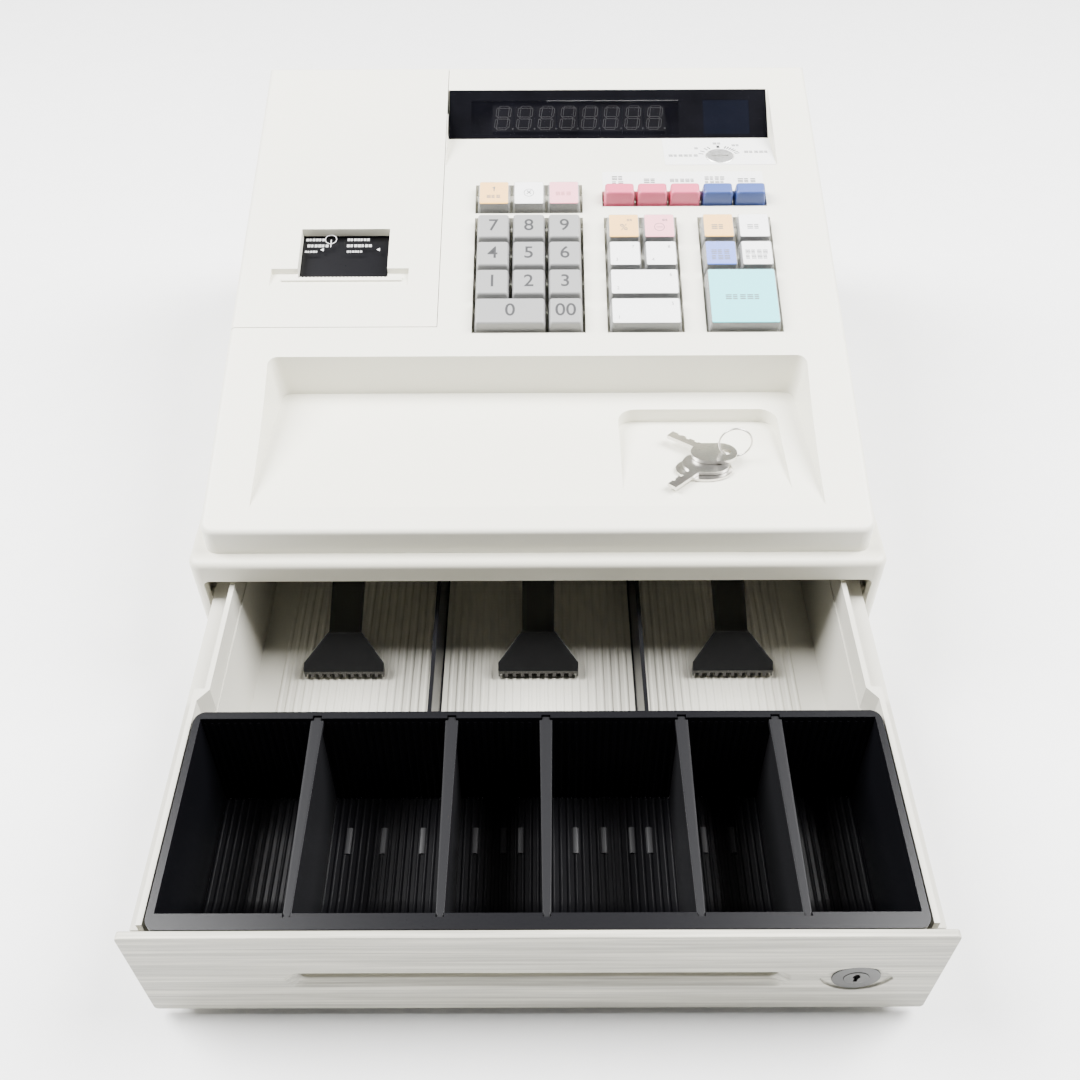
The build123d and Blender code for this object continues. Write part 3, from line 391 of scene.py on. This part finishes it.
front_grain = streaked_plastic("front_grain", (0.52, 0.505, 0.43))
softened("drawer_front", 0.0004, front_grain)
lock_metal = plated_steel("lock_metal", (0.09, 0.09, 0.088), 0.42, (6, 1, 1))
softened("lock_housing", 0.00025, lock_metal)
softened("lock_rotor", 0.00015, lock_metal)

# ----------------------------------------------------------------- coin tray
# A lift-out black tray with a scooped front. Fine ribs run over its floor, its
# scoop and its walls, and five loose plates stand in slots in its rim.

give(satin_black, "coin_tray")


def tray_profile(low, high, step):
    """Points and inward directions along the tray's inside, front rim to rear rim."""
    front_wall, rear_wall, floor_thick, rim = 0.0066, 0.0036, 0.0018, 0.003
    front_y, rear_y = low.y + front_wall, high.y - rear_wall
    floor, top = low.z + floor_thick, high.z - rim
    scoop, draft = 0.035, 0.0034
    points, normals = [], []
    for k in range(step):
        points.append(Vector((0, front_y, top - (top - floor - scoop) * k / step)))
        normals.append(Vector((0, 1, 0)))
    for k in range(2 * step + 1):
        turn = pi / 2 * k / (2 * step)
        away = Vector((0, -cos(turn), -sin(turn)))
        points.append(Vector((0, front_y + scoop, floor + scoop)) + away * scoop)
        normals.append(-away)
    points.append(Vector((0, rear_y - draft, floor)))
    normals.append(Vector((0, -0.7, 0.7)))
    points.append(Vector((0, rear_y, top)))
    normals.append(Vector((0, -1, 0)))
    return points, normals


def make_coin_tray_ribs():
    """Fine ribs, short marker bars on the floor and a row of dots along the rear wall."""
    low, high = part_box("coin_tray")
    points, normals = tray_profile(low, high, 3)
    across, upright = Vector((1, 0, 0)), Vector((0, 0, 1))
    side_wall, floor_thick = 0.0036, 0.0018
    half, floor = high.x - side_wall, low.z + floor_thick
    pitch, rib_width, rib_height = 0.0034, 0.0018, 0.0004
    work = bmesh.new()
    count = int(half / pitch)
    for i in range(-count, count + 1):
        path = [point + across * (i * pitch) for point in points]
        rib_bar(work, path, across, rib_width, rib_height, normals)
    bars = bmesh.new()
    bar_width, bar_height, bar_near, bar_far = 0.0034, 0.0009, high.y - 0.036, high.y - 0.023
    for x in (-0.087, -0.071, -0.053, -0.029, -0.016, -0.008, 0.017, 0.030, 0.043, 0.051, 0.076, 0.089):
        path = [Vector((x, y, floor)) for y in (bar_near, bar_far)]
        rib_bar(bars, path, across, bar_width, bar_height, [upright] * 2)
    dot_pitch, dot_radius, dot_inset, dot_lift = 0.0022, 0.0006, 0.0072, 0.0004
    count = int(half / dot_pitch)
    for i in range(-count, count + 1):
        spot = Matrix.Translation((i * dot_pitch, high.y - dot_inset, floor + dot_lift))
        bmesh.ops.create_icosphere(work, subdivisions=1, radius=dot_radius, matrix=spot)
    bmesh.ops.recalc_face_normals(work, faces=work.faces)
    ribs = mesh_object("coin_tray_ribs", work, satin_black, 60)
    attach(ribs, "coin_tray")
    bmesh.ops.recalc_face_normals(bars, faces=bars.faces)
    bar_black = textured_plastic("bar_black", (0.028, 0.028, 0.030), 0.5, 0.0008, 0.00003)
    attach(mesh_object("coin_tray_bars", bars, bar_black), "coin_tray")


make_coin_tray_ribs()
softened("coin_dividers", 0.00025, divider_black)

# ---------------------------------------------------------------- upper case
# The upper case and the lift-off printer cover come from one form, so their
# surfaces run on across the parting line. Both have the same fine texture.

upper_white = (0.76, 0.745, 0.65)
upper_plastic = textured_plastic("upper_plastic", upper_white, 0.45, 0.0006, 0.00003)
give(upper_plastic, "upper_case", "printer_cover")

# ------------------------------------------------------------------ display
# A smoked window covers eight seven-segment blocks on their board. The shelf
# in front of it carries a label plate and the mode key switch.


def smoked_window(name):
    material, shader = finish_material(name)
    haze = object_noise(material, 0.02, 2.0)
    base_ramp(material, shader, haze, (0.002, 0.002, 0.003), (0.004, 0.004, 0.006))
    shader.inputs["Roughness"].default_value = 0.06
    shader.inputs["Specular IOR Level"].default_value = 0.16
    shader.inputs["Alpha"].default_value = 0.5
    return material


window_smoke = smoked_window("window_smoke")
give(window_smoke, "display_window", "rear_display_window")
display_black = textured_plastic("display_black", (0.012, 0.012, 0.014), 0.5, 0.0009, 0.00003)
give(display_black, "display_board")
window_mesh = frame["nodes"]["display_window"].data
window_up = max((f for f in window_mesh.polygons if f.normal.z > 0), key=lambda f: f.area).normal
window_turn = Matrix.Rotation(atan2(-window_up.y, window_up.z), 4, "X")


def box_turned(node, turn):
    """Lowest and highest corner of a CAD piece, measured square to a turned plane."""
    turned = [turn.inverted() @ v.co for v in frame["nodes"][node].data.vertices]
    low = Vector([min(v[k] for v in turned) for k in range(3)])
    high = Vector([max(v[k] for v in turned) for k in range(3)])
    return low, high


def segment_outline(work, start, end, width, line):
    """One unlit segment of a digit: the outline of a slim bar with pointed ends."""
    along = (end - start).normalized()
    across = Vector((-along.y, along.x, 0))
    miter = 1.4
    rings = []
    for inset in (0, line):
        half = width / 2 - inset
        near, away = start + along * (inset * miter), end - along * (inset * miter)
        low, high = near + along * half, away - along * half
        side = across * half
        corners = (near, low - side, high - side, away, high + side, low + side)
        rings.append([work.verts.new(corner) for corner in corners])
    outer, inner = rings
    for k in range(6):
        turn = (k + 1) % 6
        work.faces.new((outer[k], outer[turn], inner[turn], inner[k]))


def make_display_digits():
    """Eight unlit digits: each segment is a hollow outline, leaning over to the right."""
    low, high = box_turned("display_board", window_turn)
    ink, shader = finish_material("segment_grey")
    cloud = object_noise(ink, 0.01)
    base_ramp(ink, shader, cloud, (0.20, 0.195, 0.195), (0.27, 0.26, 0.26))
    shader.inputs["Roughness"].default_value = 0.6
    count, pitch, lean = 8, 0.0127, 0.12
    w, h, bar, line = 0.0036, 0.0071, 0.0017, 0.0004
    gap = bar * 0.12
    dot_gap, dot_radius, proud, line_thick = 0.0022, 0.0006, 0.00006, 0.00003
    first_x = (low.x + high.x) / 2 - (count - 1) / 2 * pitch
    middle_y = low.y + 0.0155
    spans = (((-w, h), (w, h)), ((-w, 0), (w, 0)), ((-w, -h), (w, -h)), ((-w, gap), (-w, h)),
             ((w, gap), (w, h)), ((-w, -h), (-w, -gap)), ((w, -h), (w, -gap)))
    work = bmesh.new()
    for i in range(count):
        at = Vector((first_x + i * pitch, middle_y, high.z + proud))
        for (x0, y0), (x1, y1) in spans:
            start = at + Vector((x0 + lean * y0, y0, 0))
            end = at + Vector((x1 + lean * y1, y1, 0))
            along = (end - start).normalized() * gap
            segment_outline(work, start + along, end - along, bar, line)
        dot = Matrix.Translation(at + Vector((w + dot_gap, -h, 0)))
        bmesh.ops.create_circle(work, cap_ends=True, segments=12, radius=dot_radius, matrix=dot)
    bmesh.ops.recalc_face_normals(work, faces=work.faces)
    bmesh.ops.solidify(work, geom=work.faces, thickness=line_thick)
    bmesh.ops.transform(work, matrix=window_turn, verts=work.verts)
    digits = mesh_object("display_digits", work, ink)
    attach(digits, body_of("display_board"))


ink_thick = 0.00004


def print_ink(name, colour, glare=0.5):
    """Pad printing ink, slightly uneven."""
    material, shader = finish_material(name)
    shader.inputs["Specular IOR Level"].default_value = glare
    cloud = object_noise(material, 0.0012)
    base_ramp(material, shader, cloud, tinted(colour, 0.85), tinted(colour, 1.1))
    shader.inputs["Roughness"].default_value = 0.55
    return material


def printed_bar(work, low_corner, high_corner, level, turn):
    """A thin raised rectangle between two corners on a turned plane."""
    (x0, y0), (x1, y1) = low_corner, high_corner
    middle = Matrix.Translation(((x0 + x1) / 2, (y0 + y1) / 2, level))
    size = Matrix.Diagonal((x1 - x0, y1 - y0, 2 * ink_thick, 1))
    bmesh.ops.create_cube(work, size=1.0, matrix=turn @ middle @ size)


def make_window_mask():
    """Black print inside the window: a border, and a post beside a plain bluish field. The wide far side of
    the border is partly print and partly painted shade over the gap above the board.
    """
    low, high = box_turned("display_window", window_turn)
    wide, edge, overlap = high.x - low.x, 0.00015, 0.001
    level, behind = high.z - 0.0003, 0.0002
    left, right, field, end = (low.x + part * wide for part in (0.07, 0.723, 0.80, 0.945))
    # The far border is much wider than the near one. Its black is partly print and partly painted shade
    # that covers the gap between the display board and the top of the window.
    near_border, far_border = 0.0026, 0.0066
    near, far = low.y + near_border, high.y - far_border
    spans = ((low.x, low.y, left, high.y), (right, near, field, far), (end, near, high.x, far),
             (left, low.y, high.x, near), (left, far, high.x, high.y))
    work = bmesh.new()
    for x0, y0, x1, y1 in spans:
        low_corner = max(x0, low.x + edge), max(y0, low.y + edge)
        high_corner = min(x1, high.x - edge), min(y1, high.y - edge)
        printed_bar(work, low_corner, high_corner, level, window_turn)
    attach(mesh_object("window_mask", work, print_ink("mask_black", (0.002, 0.002, 0.003), 0.05)), "case")
    work = bmesh.new()
    low_corner, high_corner = (field - overlap, near - overlap), (end + overlap, far + overlap)
    printed_bar(work, low_corner, high_corner, level - behind, window_turn)
    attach(mesh_object("window_field", work, print_ink("mask_blue", (0.003, 0.005, 0.013), 0.05)), "case")


make_display_digits()
make_window_mask()

# --------------------------------------------------------------------- keys
# Number keys are grey mouldings with printed digits. The others are clear caps
# over a coloured card. Five narrow function keys stand in a row of their own.

slope = Matrix.Rotation(radians(16), 4, "X")


ink_grey = print_ink("ink_grey", (0.03, 0.03, 0.032))
ink_pale = print_ink("ink_pale", (0.13, 0.13, 0.13))


def printed_text(work, text, size, middle, turn, bold=0.0):
    """Digits or signs as thin raised printing on a turned plane."""
    curve = bpy.data.curves.new("printing", "FONT")
    curve.body = text
    curve.size = size
    curve.align_x = "CENTER"
    curve.align_y = "CENTER"
    curve.extrude = ink_thick
    curve.offset = bold
    carrier = bpy.data.objects.new("printing", curve)
    bpy.context.scene.collection.objects.link(carrier)
    bpy.context.view_layer.update()
    mesh = bpy.data.meshes.new_from_object(carrier)
    bpy.data.objects.remove(carrier)
    mesh.transform(turn @ Matrix.Translation(middle))
    work.from_mesh(mesh)
    bpy.data.meshes.remove(mesh)


def printed_ring(work, middle, radius, line, turn):
    """A thin raised ring on a turned plane."""
    made = []
    for r in (radius - line, radius):
        where = turn @ Matrix.Translation(middle)
        ring = bmesh.ops.create_circle(work, segments=36, radius=r, matrix=where)
        made += ring["verts"]
    edges = list({e for v in made for e in v.link_edges})
    faces = bmesh.ops.bridge_loops(work, edges=edges)["faces"]
    bmesh.ops.solidify(work, geom=faces, thickness=ink_thick)


def mock_words(work, middle, letter, count, level, turn, rows=1):
    """Rows of small plain dashes where words would be printed."""
    pitch, row_pitch, dash = letter * 1.1, letter * 1.25, letter * 0.2
    first_x = middle[0] - count * pitch / 2
    for row in range(rows):
        first_y = middle[1] + (rows / 2 - row - 1) * row_pitch
        for i in range(count):
            x = first_x + i * pitch
            end = x + letter * (0.92, 0.7, 0.86)[(i + row) % 3]
            for rise in (0.0, 0.36, 0.72):
                y = first_y + rise * letter
                printed_bar(work, (x, y), (end, y + dash), level, turn)


key_grey = textured_plastic("key_grey", (0.25, 0.25, 0.247), 0.42, 0.0005, 0.00002)
key_edge, digit_size, digit_bold = 0.0004, 0.0112, 0.0001
for name in ("0", "00", "1", "2", "3", "4", "5", "6", "7", "8", "9"):
    node = "key_" + name
    softened(node, key_edge, key_grey)
    low, high = box_turned(node, slope)
    work = bmesh.new()
    middle = Vector(((low.x + high.x) / 2, (low.y + high.y) / 2, high.z))
    printed_text(work, name, digit_size, middle, slope, digit_bold)
    digit = mesh_object(node + "_digit", work, ink_grey, 30)
    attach(digit, node)


def clear_cap_plastic(name):
    """Clear moulded cap: nearly all light passes; a pale colour that grows more opaque at grazing angles is
    a painted sheen along the edges.
    """
    material, shader = finish_material(name)
    rim = add_node(material, "ShaderNodeLayerWeight", Blend=0.35)
    haze = object_noise(material, 0.004, 3.0)
    base_ramp(material, shader, haze, (0.86, 0.88, 0.88), (0.95, 0.96, 0.96))
    # Painted sheen: the pale colour becomes more opaque toward grazing angles and stands in for the
    # reflection along the cap's edges.
    wire(material, spread(material, rim.outputs["Facing"], 0.04, 0.5), shader.inputs["Alpha"])
    shader.inputs["Roughness"].default_value = 0.08
    return material


clear_cap = clear_cap_plastic("clear_cap")
card_colours = {
    "card_yellow": ((0.86, 0.47, 0.08), ("feed", "percent", "credit")),
    "card_pink": ((0.84, 0.30, 0.37), ("clear", "minus")),
    "card_white": ((0.86, 0.86, 0.86), ("multiply", "department_1", "department_2", "department_3",
                                        "department_4", "cheque", "subtotal")),
    "card_blue": ((0.06, 0.14, 0.60), ("shift",)),
    "card_cyan": ((0.07, 0.66, 0.72), ("cash",)),
}


def printed_card(name, colour):
    material, shader = finish_material(name)
    fibre = object_noise(material, 0.0008, 4.0)
    base_ramp(material, shader, fibre, tinted(colour, 0.95), colour)
    shader.inputs["Roughness"].default_value = 0.7
    return material


def slab_on_slope(name, low, high, corner, material, body):
    """A flat slab with rounded corners, square to the sloped panel."""
    work = bmesh.new()
    size = high - low
    middle = Matrix.Translation((low + high) / 2)
    bmesh.ops.create_cube(work, size=1.0, matrix=middle @ Matrix.Diagonal((*size, 1)))
    upright = [e for e in work.edges if abs((e.verts[0].co - e.verts[1].co).z) > size.z * 0.9]
    bmesh.ops.bevel(work, geom=upright, offset=corner, segments=4, profile=0.5, affect="EDGES", material=-1)
    bmesh.ops.transform(work, matrix=slope, verts=work.verts)
    slab = mesh_object(name, work, material)
    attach(slab, body)
    return slab


card_depth, card_inset, card_corner = 0.0006, 0.0014, 0.0008
card_under, card_over, core_gap, core_drop = 0.00028, 0.00002, 0.0003, 0.0094
key_core = textured_plastic("key_core_grey", (0.12, 0.12, 0.117), 0.45, 0.0006, 0.00002)
for card, (colour, keys) in card_colours.items():
    paper = printed_card(card, colour)
    for key in keys:
        node = "key_" + key
        give(clear_cap, node)
        low, high = box_turned(node, slope)
        left, right = low.x + card_inset, high.x - card_inset
        near, far = low.y + card_inset, high.y - card_inset
        top = high.z - card_depth
        core = Vector((left, near, high.z - core_drop)), Vector((right, far, top - core_gap))
        slab_on_slope(node + "_core", *core, card_corner, key_core, node)
        sheet = Vector((left, near, top - card_under)), Vector((right, far, top - card_over))
        slab_on_slope(node + "_card", *sheet, card_corner, paper, node)


def mark_card(key, ink, draw):
    """Print on the card of one key; draw gets the mesh, the card's middle and its face height."""
    low, high = box_turned("key_" + key, slope)
    work = bmesh.new()
    draw(work, (low + high) / 2, high - (low + high) / 2, high.z - card_depth)
    marks = mesh_object("key_" + key + "_print", work, ink, 30)
    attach(marks, "key_" + key)


def printed_tip(work, middle, radius):
    """The three-cornered head of an arrow on the slope, pointing up it."""
    where = slope @ Matrix.Translation(middle) @ Matrix.Rotation(pi / 2, 4, "Z")
    bmesh.ops.create_cone(work, cap_ends=True, segments=3, radius1=radius, radius2=radius,
                          depth=2 * ink_thick, matrix=where)


def draw_feed(work, mid, half, level):
    """An arrow up, over a short line of dashes."""
    shaft, tail, head, tip, letter = 0.0003, 0.0012, 0.0036, 0.0011, 0.0024
    low_corner, high_corner = (mid.x - shaft, mid.y + tail), (mid.x + shaft, mid.y + head)
    printed_bar(work, low_corner, high_corner, level, slope)
    printed_tip(work, (mid.x, mid.y + head + 0.0002, level), tip)
    mock_words(work, (mid.x, mid.y - 0.0022), letter, 3, level, slope)


sign_radius, sign_line, sign_size = 0.0028, 0.0003, 0.0062


def draw_multiply(work, mid, half, level):
    """A multiplying sign in a ring."""
    middle = Vector((mid.x, mid.y, level))
    printed_ring(work, middle, sign_radius, sign_line, slope)
    printed_text(work, "\u00d7", sign_size, middle, slope)


def draw_second_use(work, mid, level):
    """Two small dashes in the upper right corner, for the key's second use."""
    across, along, letter = 0.0034, 0.0042, 0.0015
    mock_words(work, (mid.x + across, mid.y + along), letter, 2, level, slope)


def draw_minus(work, mid, half, level):
    """A minus sign in a ring, a little below the middle."""
    drop, reach = 0.001, 0.0017
    y, thin = mid.y - drop, sign_line / 2
    printed_ring(work, Vector((mid.x, y, level)), sign_radius, sign_line, slope)
    printed_bar(work, (mid.x - reach, y - thin), (mid.x + reach, y + thin), level, slope)
    draw_second_use(work, mid, level)


def draw_percent(work, mid, half, level):
    """A percent sign, a little below the middle."""
    drop = 0.0012
    printed_text(work, "%", sign_size, Vector((mid.x, mid.y - drop, level)), slope)
    draw_second_use(work, mid, level)


def draw_words(letter, count, rows=1):
    """Rows of dashes in the middle of the card."""
    return lambda work, mid, half, level: mock_words(
        work, (mid.x, mid.y - rows * letter * 0.1), letter, count, level, slope, rows)


def draw_corners(upper, lower):
    """Small department numbers in the upper right and lower left corners."""
    def draw(work, mid, half, level):
        inset, size = 0.0048, 0.0030
        across, along = half.x - inset, half.y - inset
        printed_text(work, upper, size, Vector((mid.x + across, mid.y + along, level)), slope)
        printed_text(work, lower, size, Vector((mid.x - across, mid.y - along, level)), slope)
    return draw


mark_card("feed", ink_grey, draw_feed)
mark_card("multiply", ink_grey, draw_multiply)
mark_card("clear", print_ink("ink_red", (0.42, 0.10, 0.12)), draw_words(0.0027, 3))
mark_card("percent", ink_grey, draw_percent)
mark_card("minus", ink_grey, draw_minus)
mark_card("department_3", ink_pale, draw_corners("7", "3"))
mark_card("department_4", ink_pale, draw_corners("8", "4"))
mark_card("department_2", ink_pale, draw_corners("6", "2"))
mark_card("department_1", ink_pale, draw_corners("5", "1"))
mark_card("credit", ink_grey, draw_words(0.0034, 2))
mark_card("cheque", ink_pale, draw_words(0.0034, 2))
mark_card("shift", ink_grey, draw_words(0.0031, 3, 2))
mark_card("subtotal", ink_grey, draw_words(0.0028, 4, 2))
mark_card("cash", ink_grey, draw_words(0.0034, 5))

key_rose = textured_plastic("function_rose", (0.60, 0.10, 0.18), 0.42, 0.0005, 0.00002)
key_blue = textured_plastic("function_blue", (0.045, 0.08, 0.26), 0.42, 0.0005, 0.00002)
for number in (1, 2, 3, 4, 5):
    softened("key_function_%d" % number, key_edge, key_rose if number < 4 else key_blue)

# ------------------------------------------------------------ printed labels
# A thin printed label lies above the function keys, and a plate on the shelf
# shows the stops of the mode switch. Only plain marks are printed on them.

label_paper = printed_card("label_paper", (0.78, 0.78, 0.765))


def make_function_label():
    """Strip over the function keys with one group of dashes for each."""
    key_low, key_high = box_turned("key_function_1", slope)
    last_high = box_turned("key_function_5", slope)[1]
    case_high = box_turned("upper_case", slope)[1]
    side, gap, reach, thick, text_rise = 0.0004, 0.0012, 0.0150, 0.00015, 0.0088
    low = Vector((key_low.x - side, key_high.y + gap, case_high.z))
    high = Vector((last_high.x + side, key_high.y + reach, case_high.z + thick))
    slab_on_slope("function_label", low, high, 0.0006, label_paper, "case")
    work = bmesh.new()
    words = ((0.0032, 2, 2), (0.0034, 2, 1), (0.0026, 5, 1), (0.0026, 4, 2), (0.0032, 3, 1))
    for number, (letter, count, rows) in enumerate(words, start=1):
        low, high = box_turned("key_function_%d" % number, slope)
        middle = ((low.x + high.x) / 2, high.y + text_rise)
        mock_words(work, middle, letter, count, case_high.z + thick, slope, rows)
    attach(mesh_object("function_label_print", work, ink_grey, 30), "case")


def make_switch_label():
    """Plate on the shelf with a round hole for the rotor and marks for its stops."""
    low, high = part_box("mode_switch_rotor")
    sunk, thick, hole_radius = 0.0006, 0.0002, 0.0083
    rotor = Vector(((low.x + high.x) / 2, (low.y + high.y) / 2, high.z - sunk))
    window_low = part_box("display_window")[0]
    left, right = rotor.x - 0.0317, rotor.x + 0.0305
    near, far = rotor.y - 0.0096, window_low.y - 0.0002
    work = bmesh.new()
    corners = ((left, near), (right, near), (right, far), (left, far))
    rim = [work.verts.new((x, y, rotor.z)) for x, y in corners]
    edges = [work.edges.new((rim[k], rim[(k + 1) % 4])) for k in range(4)]
    hole = bmesh.ops.create_circle(work, segments=48, radius=hole_radius, matrix=Matrix.Translation(rotor))
    edges += list({e for v in hole["verts"] for e in v.link_edges})
    bmesh.ops.triangle_fill(work, use_beauty=True, edges=edges)
    bmesh.ops.recalc_face_normals(work, faces=work.faces)
    grown = bmesh.ops.extrude_face_region(work, geom=work.faces[:])
    moved = [v for v in grown["geom"] if isinstance(v, bmesh.types.BMVert)]
    bmesh.ops.translate(work, vec=(0, 0, thick), verts=moved)
    bmesh.ops.recalc_face_normals(work, faces=work.faces)
    plate = mesh_object("switch_label", work, label_paper)
    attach(plate, "case")
    work = bmesh.new()
    level, flat = rotor.z + thick, Matrix.Identity(4)
    mark_start, mark_end, thin_mark, wide_mark = 0.0094, 0.0122, 0.0007, 0.0018
    for degrees in (-75, -60, -42, -30, 0, 22, 30, 38, 46, 54, 64, 72):
        turn = Matrix.Translation((rotor.x, rotor.y, 0)) @ Matrix.Rotation(radians(-degrees), 4, "Z")
        wide = wide_mark if degrees == 0 else thin_mark
        printed_bar(work, (-wide / 2, mark_start), (wide / 2, mark_end), level, turn)
    stops = ((-0.0205, 0.0012, 0.0026, 6), (-0.0125, 0.0095, 0.0022, 1), (0.0, 0.0150, 0.0024, 2),
             (0.0105, 0.0128, 0.0022, 2), (0.0215, 0.0052, 0.0026, 5))
    for across, along, letter, count in stops:
        mock_words(work, (rotor.x + across, rotor.y + along), letter, count, level, flat)
    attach(mesh_object("switch_label_print", work, ink_grey, 30), "case")


make_function_label()
make_switch_label()

# ------------------------------------------------------------------- insides
# Behind the keys: the rubber mat, the key board and the main board. In the
# bay under the cover: the printer's chassis, platen and paper roll.

give(soft_rubber("mat_rubber", (0.30, 0.30, 0.29)), "key_mat")
give(textured_plastic("board_green", (0.03, 0.16, 0.08), 0.4, 0.0012, 0.00004), "circuit_boards")
give(satin_black, "printer_frame")
give(soft_rubber("platen_rubber", (0.03, 0.03, 0.03)), "platen_roller")
give(printed_card("paper_white", (0.85, 0.85, 0.84)), "paper_roll")
give(plated_steel("switch_metal", (0.86, 0.86, 0.84), 0.5), "mode_switch_rotor")


def make_guide_marks():
    """White loading marks on the black paper guide: arrows, a roll outline and dashes."""
    low, high = box_turned("printer_frame", slope)
    ink = print_ink("ink_white", (0.70, 0.70, 0.70))
    left, level = low.x + 0.003, high.z
    near = box_turned("platen_roller", slope)[1].y + 0.020
    work = bmesh.new()
    rows, second = ((0.002, 5, 0.0013), (0.003, 6, 0.0018), (0.002, 6, 0.0016)), 0.0255
    first_row, row_pitch = near + 0.004, 0.0042
    for row, (start, count, letter) in enumerate(rows):
        y = first_row + row * row_pitch
        half = count * letter * 0.55
        mock_words(work, (left + start + half, y), letter, count, level, slope)
        mock_words(work, (left + second + half, y), letter, count + 1, level, slope)
    roll = Vector((left + 0.0155, near + 0.0125, level))
    roll_radius, line, lead = 0.0032, 0.0003, 0.0004
    printed_ring(work, roll, roll_radius, line, slope)
    printed_bar(work, (roll.x, near + 0.0070), (roll.x + lead, near + 0.0122), level, slope)
    for x in (left + 0.0115, left + 0.0420):
        printed_tip(work, (x, near + 0.0052, level), 0.0012)
    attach(mesh_object("guide_marks", work, ink, 30), "case")


make_guide_marks()

# -------------------------------------------------------------- loose keys
# Two flat register keys and an oval tag on a wire ring, left in the coin well.

give(plated_steel("key_nickel", (0.72, 0.70, 0.66), 0.3), "register_keys")
